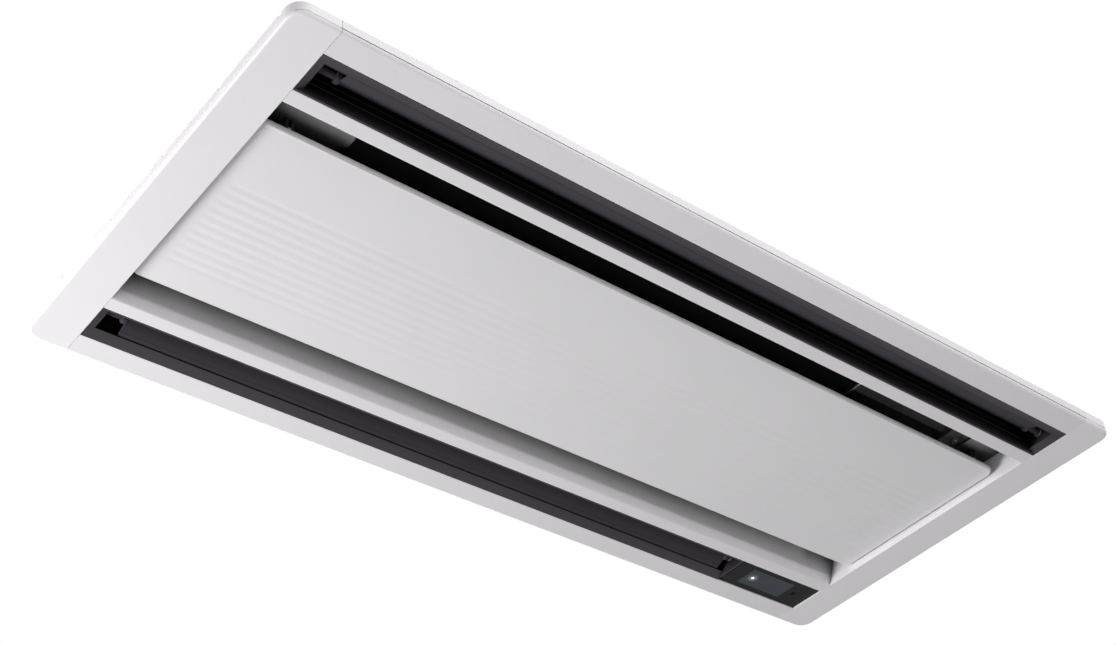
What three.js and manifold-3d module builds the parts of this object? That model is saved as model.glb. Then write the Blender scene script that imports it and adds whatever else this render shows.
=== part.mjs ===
// Two-way ceiling cassette air conditioner: decorative panel, air inlet, two outlets and the hung body.
// Millimetres, +Z up. The origin is the middle of the panel's visible face, the lowest plane of the unit.
// X runs along the panel. "v" is the distance from the long middle line, so one profile serves both
// sides: the front side has y = -v, the rear side, which carries the signal receiver, has y = +v.
import * as THREE from 'three';
import { mergeVertices } from 'three/addons/utils/BufferGeometryUtils.js';
import Module from 'manifold-3d';

const wasm = await Module();
wasm.setup();

// ---------------------------------------------------------------- driving dimensions
const FIT = 0.3; // gap kept between pieces that seat on each other
const MERGE_TOLERANCE = 0.002;

const PANEL_L = 1460;
const PANEL_W = 680;
const PANEL_T = 20; // height of the trim, face to ceiling
const PANEL_CORNER_R = 22;
const PANEL_EDGE_R = 4.5;
const TRIM_WALL = 2.5;
const END_CAP_W = 63;
const OUTER_RAIL_W = 40;
const RAIL_LIP_H = 12; // how far the outer rail's inner lip stands up

const SLOT_W = 66; // air outlet, outer rail to inner rail
const INNER_RAIL_W = 23;
const TROUGH_DEPTH = 41; // top of the inlet trough's sloped walls
const TROUGH_SLOPE = 19; // how far those walls lean in over their height
const TROUGH_EDGE_R = 3;

const RING_T = 3; // moulded base frame
const RING_Z = 16.5;
const LEDGE_T = 3;
const FRAME_TOP = 54;
const LEFT_LEDGE_L = 114; // from the seam to the ledge's free edge
const RIGHT_LEDGE_L = 67;
const LEDGE_WALL = 2.5; // upright wall along the left ledge's free edge
const TAB_REACH = 9;
const TAB_W = 22;
const TAB_Y = -167;
const CROSSBAR_GAP = 252; // right ledge to crossbar
const CROSSBAR_W = 4;
const BOSS_R = 6;
const BOSS_SETBACK = 50; // casing end to the screw bosses
const SCREW_HOLE_R = 2.6;
const SCREW_SHANK_R = 2;
const SCREW_HEAD_R = 4.4;
const SCREW_HEAD_H = 2.6;
const SCREW_L = 12;
const LEDGE_SCREW_SETBACK = 44; // ledge edge to screw
const LEDGE_SCREW_Y = -137;
const BRACKET_SCREW_SETBACK = 13;
const BRACKET_Y = -156;
const BRACKET_W = 40;
const BRACKET_T = 1.5;
const BRACKET_OVERLAP = 22; // how far the strip lies on the ledge

const SEAL_W = 10;
const SEAL_T = 4;
const SEAL_INSET = 14;

const CHUTE_H = 62; // height of the dark outlet frames
const CHUTE_WALL = 2.5;
const CHUTE_LEDGE_W = 16.1; // sloped ledge along the outer side
const CHUTE_LEDGE_RISE = 6.2;
const CHUTE_LEDGE_T = 1.4;
const CHUTE_RECESS = 6; // the outer wall stands back behind the ledge's tip
const CHUTE_END_LEDGE = 12;
const DUCT_SETBACK = 30; // casing end to the discharge opening
const RECEIVER_L = 177; // the right end of the rear outlet that carries the receiver

const FLAP_AXIS_SETBACK = 38.5; // slot's outer edge to the flap's axis
const FLAP_AXIS_Z = 23.5;
const FLAP_LIP_REACH = 26.3; // axis to lip
const FLAP_TAIL_REACH = 23.5; // axis to the upper edge
const FLAP_SAG = 5;
const FLAP_T = 2.4;
const FLAP_REST_DEG = 36; // the blade's slope in the rest pose
const FLAP_END_GAP = 33; // outlet end wall to blade
const FLAP_CHEEK_T = 6;
const FLAP_CHEEK_R = 9;
const FLAP_BOSS_R = 5;
const FLAP_PIN_R = 4;
const MOTOR_SHAFT_R = 2.2;
const BUSH_R = 5.4;
const STEPPER_R = 14;
const STEPPER_L = 19;

const VANE_PITCH = 87;
const VANE_T = 2;
const VANE_H = 11;
const VANE_BAR_W = 3;
const VANE_BAR_H = 5;

const GRILLE_Z = 10.5; // the inlet plate's face above the panel face
const GRILLE_SIDE_GAP = 47.5; // trough edge to plate
const GRILLE_END_GAP = 3.5;
const GRILLE_SKIN = 2.5;
const GRILLE_RIM_H = 7;
const GRILLE_CORNER_R = [6.5, 16, 6.5, 6.5]; // front left, front right, rear right, rear left
const GRILLE_EDGE_R = 2.4;
const GROOVE_COUNT = 11;
const GROOVE_PITCH = 16;
const GROOVE_FIRST_Y = -48;
const GROOVE_W = 5;
const GROOVE_DEPTH = 0.6;
const GROOVE_END = 24; // plain border left at each end of a groove
const HINGE_SETBACK_X = 38.5; // plate end to hinge
const HINGE_SETBACK_V = 11.5; // plate edge to hinge axis
const HINGE_Z = 25;
const HINGE_PIN_R = 3;
const HINGE_EAR_T = 4;
const LUG_T = 3;
const CATCH_SETBACK_V = 23.5;

const FILTER_Z = 45.5;
const FILTER_T = 4;
const FILTER_SIDE_GAP = 7;
const FILTER_RIM = 8;
const FILTER_BARS_X = 5;
const FILTER_BARS_Y = 2;
const FILTER_BAR_W = 2.4;
const FILTER_BAR_INSET = 0.5; // the bars stand back from the frame's faces
const FILTER_MESH_T = 1;

const BODY_END_INSET = 140; // panel end to casing
const BODY_SIDE_INSET = 40;
const BODY_TOP = 320;
const BODY_FOOT = 25; // lower edge of the casing's long sides
const SHEET = 1.2;
const CASING_FLANGE = 16;
const CASING_BEAD_H = 3;
const CASING_BEAD_SETBACK = 50;
const END_PLATE_FOOT = 64;
const LINER_T = 10.5;

const PAN_Z = 56;
const PAN_FLOOR = 8;
const PAN_H = 28;
const PAN_WALL = 6;
const PAN_SETBACK = 18;
const PAN_COLLAR_H = 18;

const LEFT_FAN_SETBACK = 260; // casing end to the left fan's axis
const RIGHT_FAN_SETBACK = 248; // crossbar to the right fan's axis
const FAN_R = 150;
const FAN_EYE_R = 108;
const FAN_DROP = 92; // casing top to the wheel's back plate
const FAN_HUB_DEPTH = 62;
const FAN_HUB_R = 84;
const FAN_SWEEP = 0.75; // radians from a blade's root to its tip
const FAN_BLADES = 7;
const FAN_BLADE_T = 3;
const FAN_SKIN = 2.4;
const FAN_SEGMENTS = 20;
const FAN_SHROUD_Z = 96; // the eye's rim
const FAN_OUTLET_H = 98; // blade height at the wheel's outside
const BELL_THROAT_R = 100;
const BELL_FLANGE_R = 152;
const BELL_T = 2.5;
const BELL_TOP = 92;
const PAN_HOLE_R = 140;
const FAN_SHAFT_R = 5;
const FAN_MOTOR_R = 68;
const FAN_MOTOR_H = 62;

const COIL_T = 50;
const COIL_PAN_GAP = 5.3; // coil to the pan's side wall
const COIL_Z = 66;
const COIL_DROP = 20; // casing top to coil
const COIL_LEFT_SETBACK = 95;
const COIL_RIGHT_SETBACK = 45;
const COIL_PLATE_T = 2;
const COIL_BENDS = 5;
const COIL_TUBE_R = 4;

const GAS_PIPE_R = 7.95;
const LIQUID_PIPE_R = 4.8;
const PIPE_STUB = 60; // how far the pipes stand out of the casing
const PIPE_OFFSET = 12; // each pipe's distance from the coil's middle plane
const GAS_PIPE_Y = 95;
const LIQUID_PIPE_Y = 45;
const GAS_PIPE_DROP = 38; // coil top to stub
const LIQUID_PIPE_DROP = 78;
const GAS_COIL_DROP = 60; // coil top to where the pipe meets it
const LIQUID_COIL_DROP = 100;
const GAS_RUN_SETBACK = 38; // casing end to the upright run
const LIQUID_RUN_SETBACK = 14; // coil end to the upright run
const PIPE_SHOULDER = 40;
const NUT_L = 22;
const NUT_OVERLAP = 18; // how far a nut reaches back from the pipe's end towards the casing

const PUMP_SETBACK = 40; // pan end to pump
const PUMP_Y = -70;
const PUMP_R = 32;
const PUMP_H = 58;
const FLOAT_R = 10;
const FLOAT_H = 14;
const FLOAT_STEM_R = 2;
const FLOAT_GAP = 34; // pump side to float axis
const FLOAT_TRAVEL = 12;
const SPIGOT_R = 16;
const SPIGOT_L = 38;
const SPIGOT_WALL = 3;
const SPIGOT_DROP = 30; // casing top to spigot
const HOSE_R = 10;
const PUMP_OUTLET_H = 14;

const BOX_L = 210; // control box
const BOX_W = 296;
const BOX_H = 58;
const BOX_COVER_T = 1.2;
const BOARD_T = 1.6;
const BOARD_DROP = 14; // box top to board
const BOARD_MARGIN = 10;
const BOARD_Y0 = -134;
const BOARD_Y1 = 86;
// Each part on the board: x from and to, y from and to, height.
const BOARD_PARTS = [
  [14, 46, -120, -80, 26], [60, 84, -122, -96, 18], [96, 120, -122, -96, 18], [20, 70, -50, -10, 20],
  [96, 128, -60, -28, 12], [24, 40, 30, 66, 14], [60, 150, 56, 76, 10],
];
const CAPACITOR_R = 10;
const CAPACITOR_H = 30;
const CAPACITOR_YS = [-70, -40, 0];
const TERMINALS = 6;
const TERMINAL_PITCH = 18;
const TERMINAL_W = 34;
const TERMINAL_Y = 96;
const TERMINAL_INSET = 40;
const GLAND_Y = 60;
const GLAND_Z = 150;
const GLAND_R = 11;

const HANGER_SETBACK = 95; // casing side to rod
const HANGER_Z = 238;
const HANGER_W = 62;
const HANGER_REACH = 46;
const HANGER_T = 2.5;
const HANGER_RISE = 60;
const HANGER_SLOT_W = 12;
const HANGER_SLOT_L = 28;

const RECEIVER_FACE_Z = 2.2;
const RECEIVER_TOP_Z = 16;
const RECEIVER_BEVEL = 10;
const WINDOW_T = 1.2;
const BUTTON_W = 7;
const BUTTON_TRAVEL = 0.8;
const LED_R = 2.2;
const WINDOW_OFFSET = 34; // bulkhead side of the cover to the window
const WINDOW_L = 94;
const WINDOW_W = 44;
const LED_OFFSET = 16;
const BUTTON_SETBACK = 32.7;
const RECEIVER_BOARD_Z = 10;
const SWITCH_Z = 8.6;

// ---------------------------------------------------------------- worked-out places
const HALF_L = PANEL_L / 2;
const HALF_W = PANEL_W / 2;
const SEAM_X = HALF_L - END_CAP_W; // butt joint between the end caps and the rails
const SLOT_OUT = HALF_W - OUTER_RAIL_W;
const SLOT_IN = SLOT_OUT - SLOT_W;
const TROUGH_V = SLOT_IN - INNER_RAIL_W; // the trough's edge at the panel face
const TROUGH_TOP_V = TROUGH_V - TROUGH_SLOPE;
const FLAP_AXIS_V = SLOT_OUT - FLAP_AXIS_SETBACK;
const TROUGH_LENGTH = Math.hypot(TROUGH_SLOPE, TROUGH_DEPTH);
const TROUGH_WALL_DV = (TRIM_WALL * TROUGH_LENGTH) / TROUGH_DEPTH; // wall thickness along v
const troughV = (z) => TROUGH_V - (TROUGH_SLOPE * z) / TROUGH_DEPTH;
const RING_TOP = RING_Z + RING_T;
const LEDGE_Z = TROUGH_DEPTH + FIT;
const LEDGE_TOP = LEDGE_Z + LEDGE_T;
const LEDGE_LEFT_EDGE = -SEAM_X + LEFT_LEDGE_L;
const LEDGE_RIGHT_EDGE = SEAM_X - RIGHT_LEDGE_L;
const CROSSBAR_X = LEDGE_RIGHT_EDGE - CROSSBAR_GAP;
const TROUGH_END_X = SEAM_X + FIT / 2; // the white wall that closes the trough
const FRAME_END_X = TROUGH_END_X + TRIM_WALL + FIT;

const CHUTE_IN = SLOT_IN + FIT;
const CHUTE_TIP_V = SLOT_OUT - FIT - CHUTE_LEDGE_W;
const CHUTE_OUT_IN = CHUTE_TIP_V + CHUTE_RECESS;
const CHUTE_OUT = CHUTE_OUT_IN + CHUTE_WALL;
const CHUTE_END = SEAM_X - FIT;
const CHUTE_WALL_X = CHUTE_END - CHUTE_END_LEDGE; // inner face of the outlet's end walls
const BULKHEAD_X = CHUTE_END - RECEIVER_L - CHUTE_WALL;
const STEPPER_X = CHUTE_WALL_X + CHUTE_WALL + FIT;
const RIB_V = SLOT_IN - 20; // stiffening ribs along the base frame
const RIB_T = 3;

const HALF_BODY_L = HALF_L - BODY_END_INSET;
const HALF_BODY_W = HALF_W - BODY_SIDE_INSET;
const DUCT_HALF_L = HALF_BODY_L - DUCT_SETBACK;
const BOSS_X = HALF_BODY_L - BOSS_SETBACK;
const BOSS_V = HALF_BODY_W + CASING_FLANGE / 2;
const PAN_HALF_L = HALF_BODY_L - PAN_SETBACK;
const PAN_HALF_W = CHUTE_IN - 1;
const FAN_XS = [LEFT_FAN_SETBACK - HALF_BODY_L, CROSSBAR_X - RIGHT_FAN_SETBACK];
const FAN_BACK_Z = BODY_TOP - FAN_DROP;
const COIL_V = PAN_HALF_W - PAN_WALL - COIL_PAN_GAP - COIL_T; // the coil's face towards the fans
const COIL_TOP = BODY_TOP - COIL_DROP;
const COIL_LEFT = COIL_LEFT_SETBACK - HALF_BODY_L;
const COIL_RIGHT = HALF_BODY_L - COIL_RIGHT_SETBACK;
const BOX_LEFT = CROSSBAR_X + CROSSBAR_W;
const BOX_RIGHT = BOX_LEFT + BOX_L;
const CONTROL_BOARD_Z = PAN_Z + BOX_H - BOARD_DROP;
const HANGER_V = HALF_BODY_W - HANGER_SETBACK;
const PAN_FLOOR_TOP = PAN_Z + PAN_FLOOR;
const PAN_TOP = PAN_Z + PAN_H;
const GRILLE_HALF_L = SEAM_X - GRILLE_END_GAP;
const GRILLE_HALF_W = TROUGH_V - GRILLE_SIDE_GAP;
const HINGE_X = GRILLE_HALF_L - HINGE_SETBACK_X;
const HINGE_V = GRILLE_HALF_W - HINGE_SETBACK_V;
const CATCH_V = GRILLE_HALF_W - CATCH_SETBACK_V;
const FILTER_W = 2 * (TROUGH_TOP_V - FILTER_SIDE_GAP);
const TAB_TIP = LEDGE_LEFT_EDGE + LEDGE_WALL + TAB_REACH;
const FILTER_LEFT = TAB_TIP + FIT; // the filter drops past the tab
const FILTER_RIGHT = CROSSBAR_X - FIT;
const RECEIVER_LEFT = BULKHEAD_X + CHUTE_WALL + FIT;
const RECEIVER_RIGHT = CHUTE_END;
const RECEIVER_IN = SLOT_IN + 2 * FIT;
const RECEIVER_OUT = SLOT_OUT - 2 * FIT;
const RECEIVER_MID_V = (RECEIVER_IN + RECEIVER_OUT) / 2;
const WINDOW_X0 = RECEIVER_LEFT + WINDOW_OFFSET;
const WINDOW_X1 = WINDOW_X0 + WINDOW_L;
const LED_X = WINDOW_X0 + LED_OFFSET;
const BUTTON_X = RECEIVER_RIGHT - BUTTON_SETBACK;

const PUMP_X = PUMP_SETBACK - PAN_HALF_L;
const PUMP_FOOT_Z = PAN_FLOOR_TOP + 6;
const FLOAT_Y = PUMP_Y + PUMP_R + FLOAT_GAP;
const FLOAT_Z = PAN_FLOOR_TOP + 1;
const SPIGOT_Z = BODY_TOP - SPIGOT_DROP;
const GAS = {
  radius: GAS_PIPE_R, y: GAS_PIPE_Y, z: COIL_TOP - GAS_PIPE_DROP, offset: PIPE_OFFSET,
  runX: GAS_RUN_SETBACK - HALF_BODY_L, coilZ: COIL_TOP - GAS_COIL_DROP,
};
const LIQUID = {
  radius: LIQUID_PIPE_R, y: LIQUID_PIPE_Y, z: COIL_TOP - LIQUID_PIPE_DROP, offset: -PIPE_OFFSET,
  runX: COIL_LEFT - LIQUID_RUN_SETBACK, coilZ: COIL_TOP - LIQUID_COIL_DROP,
};
const LEDGE_SCREW = [LEDGE_LEFT_EDGE - LEDGE_SCREW_SETBACK, LEDGE_SCREW_Y];
const BRACKET_SCREW = [LEDGE_RIGHT_EDGE - BRACKET_SCREW_SETBACK, BRACKET_Y + 1];

// ---------------------------------------------------------------- solids
function solid(geometry) {
  const bare = geometry.clone();
  bare.deleteAttribute('normal');
  bare.deleteAttribute('uv');
  const merged = mergeVertices(bare, 1e-4);
  return new wasm.Manifold(new wasm.Mesh({
    numProp: 3,
    vertProperties: Float32Array.from(merged.attributes.position.array),
    triVerts: Uint32Array.from(merged.index.array),
  }));
}

// Coplanar faces are merged into one before the mesh is taken, so joins leave no slivers.
function geometryOf(manifold) {
  const mesh = manifold.asOriginal().simplify(MERGE_TOLERANCE).getMesh();
  const geometry = new THREE.BufferGeometry();
  geometry.setAttribute('position', new THREE.BufferAttribute(Float32Array.from(mesh.vertProperties), 3));
  geometry.setIndex(Array.from(mesh.triVerts));
  const flat = geometry.toNonIndexed();
  flat.computeVertexNormals();
  return flat;
}

const join = (pieces) => pieces.reduce((whole, piece) => whole.add(piece));
const cut = (body, tools) => tools.reduce((whole, tool) => whole.subtract(tool), body);

function box(x0, x1, y0, y1, z0, z1) {
  const geometry = new THREE.BoxGeometry(Math.abs(x1 - x0), Math.abs(y1 - y0), Math.abs(z1 - z0));
  geometry.translate((x0 + x1) / 2, (y0 + y1) / 2, (z0 + z1) / 2);
  return solid(geometry);
}

// A box given by its distances from the long middle line, on the front (side -1) or rear (side 1).
const sideBox = (side, x0, x1, v0, v1, z0, z1) => box(x0, x1, side * v0, side * v1, z0, z1);

// An outline whose points are [a, b] or [a, b, radius] for a rounded corner.
function outline(points, arcSteps = 3) {
  const path = [];
  const count = points.length;
  for (let i = 0; i < count; i += 1) {
    const here = new THREE.Vector2(points[i][0], points[i][1]);
    const radius = points[i][2] ?? 0;
    if (radius === 0) {
      path.push(here);
      continue;
    }
    const before = new THREE.Vector2(...points[(i + count - 1) % count]).sub(here).normalize();
    const after = new THREE.Vector2(...points[(i + 1) % count]).sub(here).normalize();
    const half = Math.acos(before.dot(after)) / 2;
    const middle = before.clone().add(after).normalize();
    const centre = here.clone().addScaledVector(middle, radius / Math.sin(half));
    const start = here.clone().addScaledVector(before, radius / Math.tan(half)).sub(centre);
    const end = here.clone().addScaledVector(after, radius / Math.tan(half)).sub(centre);
    const turn = Math.atan2(start.x * end.y - start.y * end.x, start.dot(end));
    for (let step = 0; step <= arcSteps; step += 1) {
      path.push(start.clone().rotateAround(new THREE.Vector2(), (turn * step) / arcSteps).add(centre));
    }
  }
  return new THREE.Shape(path);
}

// Extrudes an outline along one axis. The outline's own axes are (y, z), (x, z) or (x, y).
const ALONG = {
  x: new THREE.Matrix4().makeBasis(
    new THREE.Vector3(0, 1, 0), new THREE.Vector3(0, 0, 1), new THREE.Vector3(1, 0, 0)),
  y: new THREE.Matrix4().makeBasis(
    new THREE.Vector3(1, 0, 0), new THREE.Vector3(0, 0, 1), new THREE.Vector3(0, -1, 0)),
  z: new THREE.Matrix4(),
};

function prism(axis, shape, from, to) {
  const outlineShape = shape instanceof THREE.Shape ? shape : outline(shape);
  const geometry = new THREE.ExtrudeGeometry(outlineShape, { depth: to - from, bevelEnabled: false });
  geometry.translate(0, 0, axis === 'y' ? -to : from);
  return solid(geometry.applyMatrix4(ALONG[axis]));
}

// A profile in (v, z) run along X on one side of the middle line.
function rail(side, profile, x0, x1, arcSteps = 3) {
  return prism('x', outline(profile.map(([v, z, r]) => [side * v, z, r ?? 0]), arcSteps), x0, x1);
}

function cylinder(axis, radius, from, to, a, b, segments = 16) {
  const geometry = new THREE.CylinderGeometry(radius, radius, to - from, segments);
  const middle = (from + to) / 2;
  if (axis === 'x') geometry.rotateZ(Math.PI / 2).translate(middle, a, b);
  if (axis === 'y') geometry.translate(a, middle, b);
  if (axis === 'z') geometry.rotateX(Math.PI / 2).translate(a, b, middle);
  return solid(geometry);
}

// A closed profile of [radius, z] points turned about a vertical axis at (x, y).
function turned(profile, x, y, segments = FAN_SEGMENTS) {
  const points = profile.map(([radius, z]) => new THREE.Vector2(radius, z));
  const closed = profile[0][0] === 0 ? points : [...points, points[0].clone()];
  const geometry = new THREE.LatheGeometry(closed, segments);
  geometry.rotateX(Math.PI / 2).translate(x, y, 0);
  const made = solid(geometry);
  if (made.volume() > 0) return made;
  const flipped = new THREE.LatheGeometry([...closed].reverse(), segments);
  return solid(flipped.rotateX(Math.PI / 2).translate(x, y, 0));
}

// A round rod along straight runs with rounded corners.
function tube(points, radius, bend, steps, sides = 10) {
  const corners = points.map((point) => new THREE.Vector3(...point));
  const path = new THREE.CurvePath();
  let last = corners[0];
  for (let i = 1; i < corners.length - 1; i += 1) {
    const into = corners[i].clone().sub(corners[i - 1]).setLength(bend);
    const out = corners[i + 1].clone().sub(corners[i]).setLength(bend);
    const start = corners[i].clone().sub(into);
    const end = corners[i].clone().add(out);
    path.add(new THREE.LineCurve3(last, start));
    path.add(new THREE.QuadraticBezierCurve3(start, corners[i], end));
    last = end;
  }
  path.add(new THREE.LineCurve3(last, corners[corners.length - 1]));
  const section = new THREE.Shape();
  for (let i = 0; i < sides; i += 1) {
    const angle = (2 * Math.PI * i) / sides;
    const point = [radius * Math.cos(angle), radius * Math.sin(angle)];
    if (i === 0) section.moveTo(...point);
    else section.lineTo(...point);
  }
  section.closePath();
  return solid(new THREE.ExtrudeGeometry(section, { steps, extrudePath: path, bevelEnabled: false }));
}

// ---------------------------------------------------------------- finishes
const finish = (color, roughness, metalness = 0) =>
  new THREE.MeshStandardMaterial({ color, roughness, metalness });

const WHITE = finish('#e6e3e6', 0.42);
const PLATE_WHITE = finish('#dedde0', 0.45);
const BLACK = finish('#1d1c20', 0.55);
const FLAP_GREY = finish('#3b3940', 0.5);
const WINDOW_TINT = finish('#252a33', 0.15);
const LED_WHITE = finish('#ffffff', 0.3);
const GALVANISED = finish('#b4b8ba', 0.4, 0.9);
const STEEL = finish('#c9cbcc', 0.3, 1);
const ZINC = finish('#a9a495', 0.35, 1);
const FOAM_GREY = finish('#5a5d60', 0.95);
const FOAM_WHITE = finish('#eceae4', 0.95);
const FAN_PLASTIC = finish('#33363a', 0.6);
const ALUMINIUM = finish('#b9bdc0', 0.35, 1);
const COPPER = finish('#b8704a', 0.3, 1);
const BRASS = finish('#b08d45', 0.3, 1);
const BOARD_GREEN = finish('#2c5b3a', 0.5);
const PUMP_GREY = finish('#8d9196', 0.5);
const FILTER_GREY = finish('#6d7278', 0.7);
const MOTOR_GREY = finish('#9a9ea1', 0.4, 0.8);

const assembly = new THREE.Group();

function add(name, manifold, material, parent = assembly) {
  const mesh = new THREE.Mesh(geometryOf(manifold), material);
  mesh.name = name;
  parent.add(mesh);
}

// ---------------------------------------------------------------- decorative panel
// A rounded slab: its plan is inset by the edge radius, and the bevel brings it back to full size.
// A rectangle with four corner radii: front left, front right, rear right, rear left.
function roundedPlan(halfL, halfW, corners) {
  const places = [[-halfL, -halfW], [halfL, -halfW], [halfL, halfW], [-halfL, halfW]];
  return outline(places.map(([x, y], i) => [x, y, corners[i]]), 5);
}

const alike = (radius) => [radius, radius, radius, radius];

const smaller = (corners, inset) => corners.map((radius) => radius - inset);

function roundedSlab(halfL, halfW, corners, edgeR, z0, z1) {
  const plan = roundedPlan(halfL - edgeR, halfW - edgeR, smaller(corners, edgeR));
  const geometry = new THREE.ExtrudeGeometry(plan, {
    depth: z1 - z0, bevelThickness: edgeR, bevelSize: edgeR, bevelSegments: 4,
  });
  geometry.translate(0, 0, z0 + edgeR);
  return solid(geometry).intersect(box(-halfL, halfL, -halfW, halfW, z0, z1));
}

function plainSlab(halfL, halfW, corners, z0, z1) {
  return prism('z', roundedPlan(halfL, halfW, corners), z0, z1);
}

const tray = roundedSlab(HALF_L, HALF_W, alike(PANEL_CORNER_R), PANEL_EDGE_R, 0, PANEL_T)
  .subtract(plainSlab(HALF_L - TRIM_WALL, HALF_W - TRIM_WALL, alike(PANEL_CORNER_R - TRIM_WALL),
    TRIM_WALL, PANEL_T + 1));

function endCap(side) {
  const near = side * TROUGH_END_X;
  const far = side * (HALF_L + 1);
  const shell = tray.intersect(box(near, far, -HALF_W - 1, HALF_W + 1, -1, PANEL_T + 1));
  const wallProfile = [
    [-TROUGH_V, 0], [TROUGH_V, 0], [TROUGH_TOP_V, TROUGH_DEPTH], [-TROUGH_TOP_V, TROUGH_DEPTH],
  ];
  const inner = Math.min(near, near + side * TRIM_WALL);
  return shell.add(prism('x', wallProfile, inner, inner + TRIM_WALL));
}

function outerRail(side) {
  const end = SEAM_X - FIT / 2;
  const strip = tray.intersect(sideBox(side, -end, end, SLOT_OUT, HALF_W + 1, -1, PANEL_T + 1));
  return strip.add(sideBox(side, -end, end, SLOT_OUT, SLOT_OUT + TRIM_WALL, 0, RAIL_LIP_H));
}

function innerRail(side) {
  const end = SEAM_X - FIT / 2;
  const profile = [
    [SLOT_IN, 0], [TROUGH_V, 0, TROUGH_EDGE_R], [TROUGH_TOP_V, TROUGH_DEPTH],
    [TROUGH_TOP_V + TROUGH_WALL_DV, TROUGH_DEPTH], [troughV(TRIM_WALL) + TROUGH_WALL_DV, TRIM_WALL],
    [SLOT_IN - TRIM_WALL, TRIM_WALL], [SLOT_IN - TRIM_WALL, RAIL_LIP_H], [SLOT_IN, RAIL_LIP_H],
  ];
  return rail(side, profile, -end, end);
}

// The moulded frame behind the trim: it carries every piece of the panel.
function baseFrame() {
  const halfL = HALF_L - TRIM_WALL - FIT;
  const halfW = HALF_W - TRIM_WALL - FIT;
  const pieces = [plainSlab(halfL, halfW, alike(PANEL_CORNER_R - TRIM_WALL - FIT), RING_Z, RING_TOP)];
  const spareV = troughV(RING_Z) + TROUGH_WALL_DV + FIT;
  const holes = [box(-FRAME_END_X, FRAME_END_X, -spareV, spareV, 0, FRAME_TOP)];
  const ribEnd = FRAME_END_X + TRIM_WALL;
  const ledges = [];
  for (const side of [-1, 1]) {
    const slotEnd = CHUTE_WALL_X + CHUTE_WALL + FIT;
    holes.push(sideBox(side, -slotEnd, slotEnd, SLOT_IN, CHUTE_OUT + FIT, 0, FRAME_TOP));
    const notchV0 = FLAP_AXIS_V - STEPPER_R - 3;
    const notchV1 = FLAP_AXIS_V + STEPPER_R + 3;
    holes.push(sideBox(side, -slotEnd - STEPPER_L - 5, slotEnd + 3, notchV0, notchV1, 0, FRAME_TOP));
    ledges.push(sideBox(side, -ribEnd, ribEnd, RIB_V, RIB_V + RIB_T, RING_Z, FRAME_TOP));
    for (const end of [-1, 1]) {
      ledges.push(cylinder('z', BOSS_R, RING_Z, BODY_FOOT - FIT, end * BOSS_X, side * BOSS_V));
    }
  }
  const ribOut = RIB_V + RIB_T;
  const ribIn = RIB_V + RIB_T / 2;
  for (const end of [-1, 1]) {
    ledges.push(box(end * FRAME_END_X, end * ribEnd, -ribOut, ribOut, RING_Z, LEDGE_TOP));
  }
  ledges.push(box(-ribEnd, LEDGE_LEFT_EDGE, -ribOut, ribOut, LEDGE_Z, LEDGE_TOP));
  ledges.push(box(LEDGE_RIGHT_EDGE, ribEnd, -ribOut, ribOut, LEDGE_Z, LEDGE_TOP));
  ledges.push(box(LEDGE_LEFT_EDGE, LEDGE_LEFT_EDGE + LEDGE_WALL, -ribIn, ribIn, LEDGE_Z, FRAME_TOP - 1));
  ledges.push(box(CROSSBAR_X, CROSSBAR_X + CROSSBAR_W, -ribIn, ribIn, LEDGE_Z, FRAME_TOP - 1));
  ledges.push(tabOnLedge());
  for (const end of [-1, 1]) {
    ledges.push(...hingeLugs(end), ...catchFingers(end));
  }
  const drilled = [
    cylinder('z', SCREW_HOLE_R, LEDGE_Z - 1, LEDGE_TOP + 1, ...LEDGE_SCREW, 12),
  ];
  return cut(join([cut(join(pieces), holes), ...ledges]), drilled);
}

// A rounded locating tab on the left ledge's free edge.
function tabOnLedge() {
  const low = TAB_Y - TAB_W / 2;
  const high = TAB_Y + TAB_W / 2;
  return prism('z', outline([
    [LEDGE_LEFT_EDGE - 1, low], [TAB_TIP, low, TAB_REACH / 2], [TAB_TIP, high, TAB_REACH / 2],
    [LEDGE_LEFT_EDGE - 1, high],
  ]), LEDGE_Z, LEDGE_TOP);
}

// Two lugs under a ledge, one on each side of the inlet plate's hinge ear.
function hingeLugs(end) {
  const lugs = [];
  for (const step of [-1, 1]) {
    const middle = end * HINGE_X + step * (HINGE_EAR_T / 2 + FIT + LUG_T / 2);
    const plate = sideBox(-1, middle - LUG_T / 2, middle + LUG_T / 2, HINGE_V - 7, HINGE_V + 7,
      HINGE_Z - 6, LEDGE_Z + 1);
    const hole = cylinder('x', HINGE_PIN_R + 0.4, middle - LUG_T, middle + LUG_T, -HINGE_V, HINGE_Z);
    lugs.push(plate.subtract(hole));
  }
  return lugs;
}

// Two spring fingers under a ledge that grip the inlet plate's catch blade.
function catchFingers(end) {
  return [-1, 1].map((step) => {
    const middle = end * HINGE_X + step * (LUG_T / 2 + FIT + LUG_T / 2);
    return box(middle - LUG_T / 2, middle + LUG_T / 2, CATCH_V - 6, CATCH_V + 6, HINGE_Z + 2, LEDGE_Z + 1);
  });
}

function panelSeal() {
  const halfL = HALF_L - SEAL_INSET;
  const halfW = HALF_W - SEAL_INSET;
  const z0 = RING_TOP + FIT;
  const corner = PANEL_CORNER_R - 6;
  return plainSlab(halfL, halfW, alike(corner), z0, z0 + SEAL_T)
    .subtract(box(-halfL + SEAL_W, halfL - SEAL_W, -halfW + SEAL_W, halfW - SEAL_W, 0, BODY_FOOT));
}

// ---------------------------------------------------------------- outlets
const flapPoint = (side) => [side * FLAP_AXIS_V, FLAP_AXIS_Z];

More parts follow.
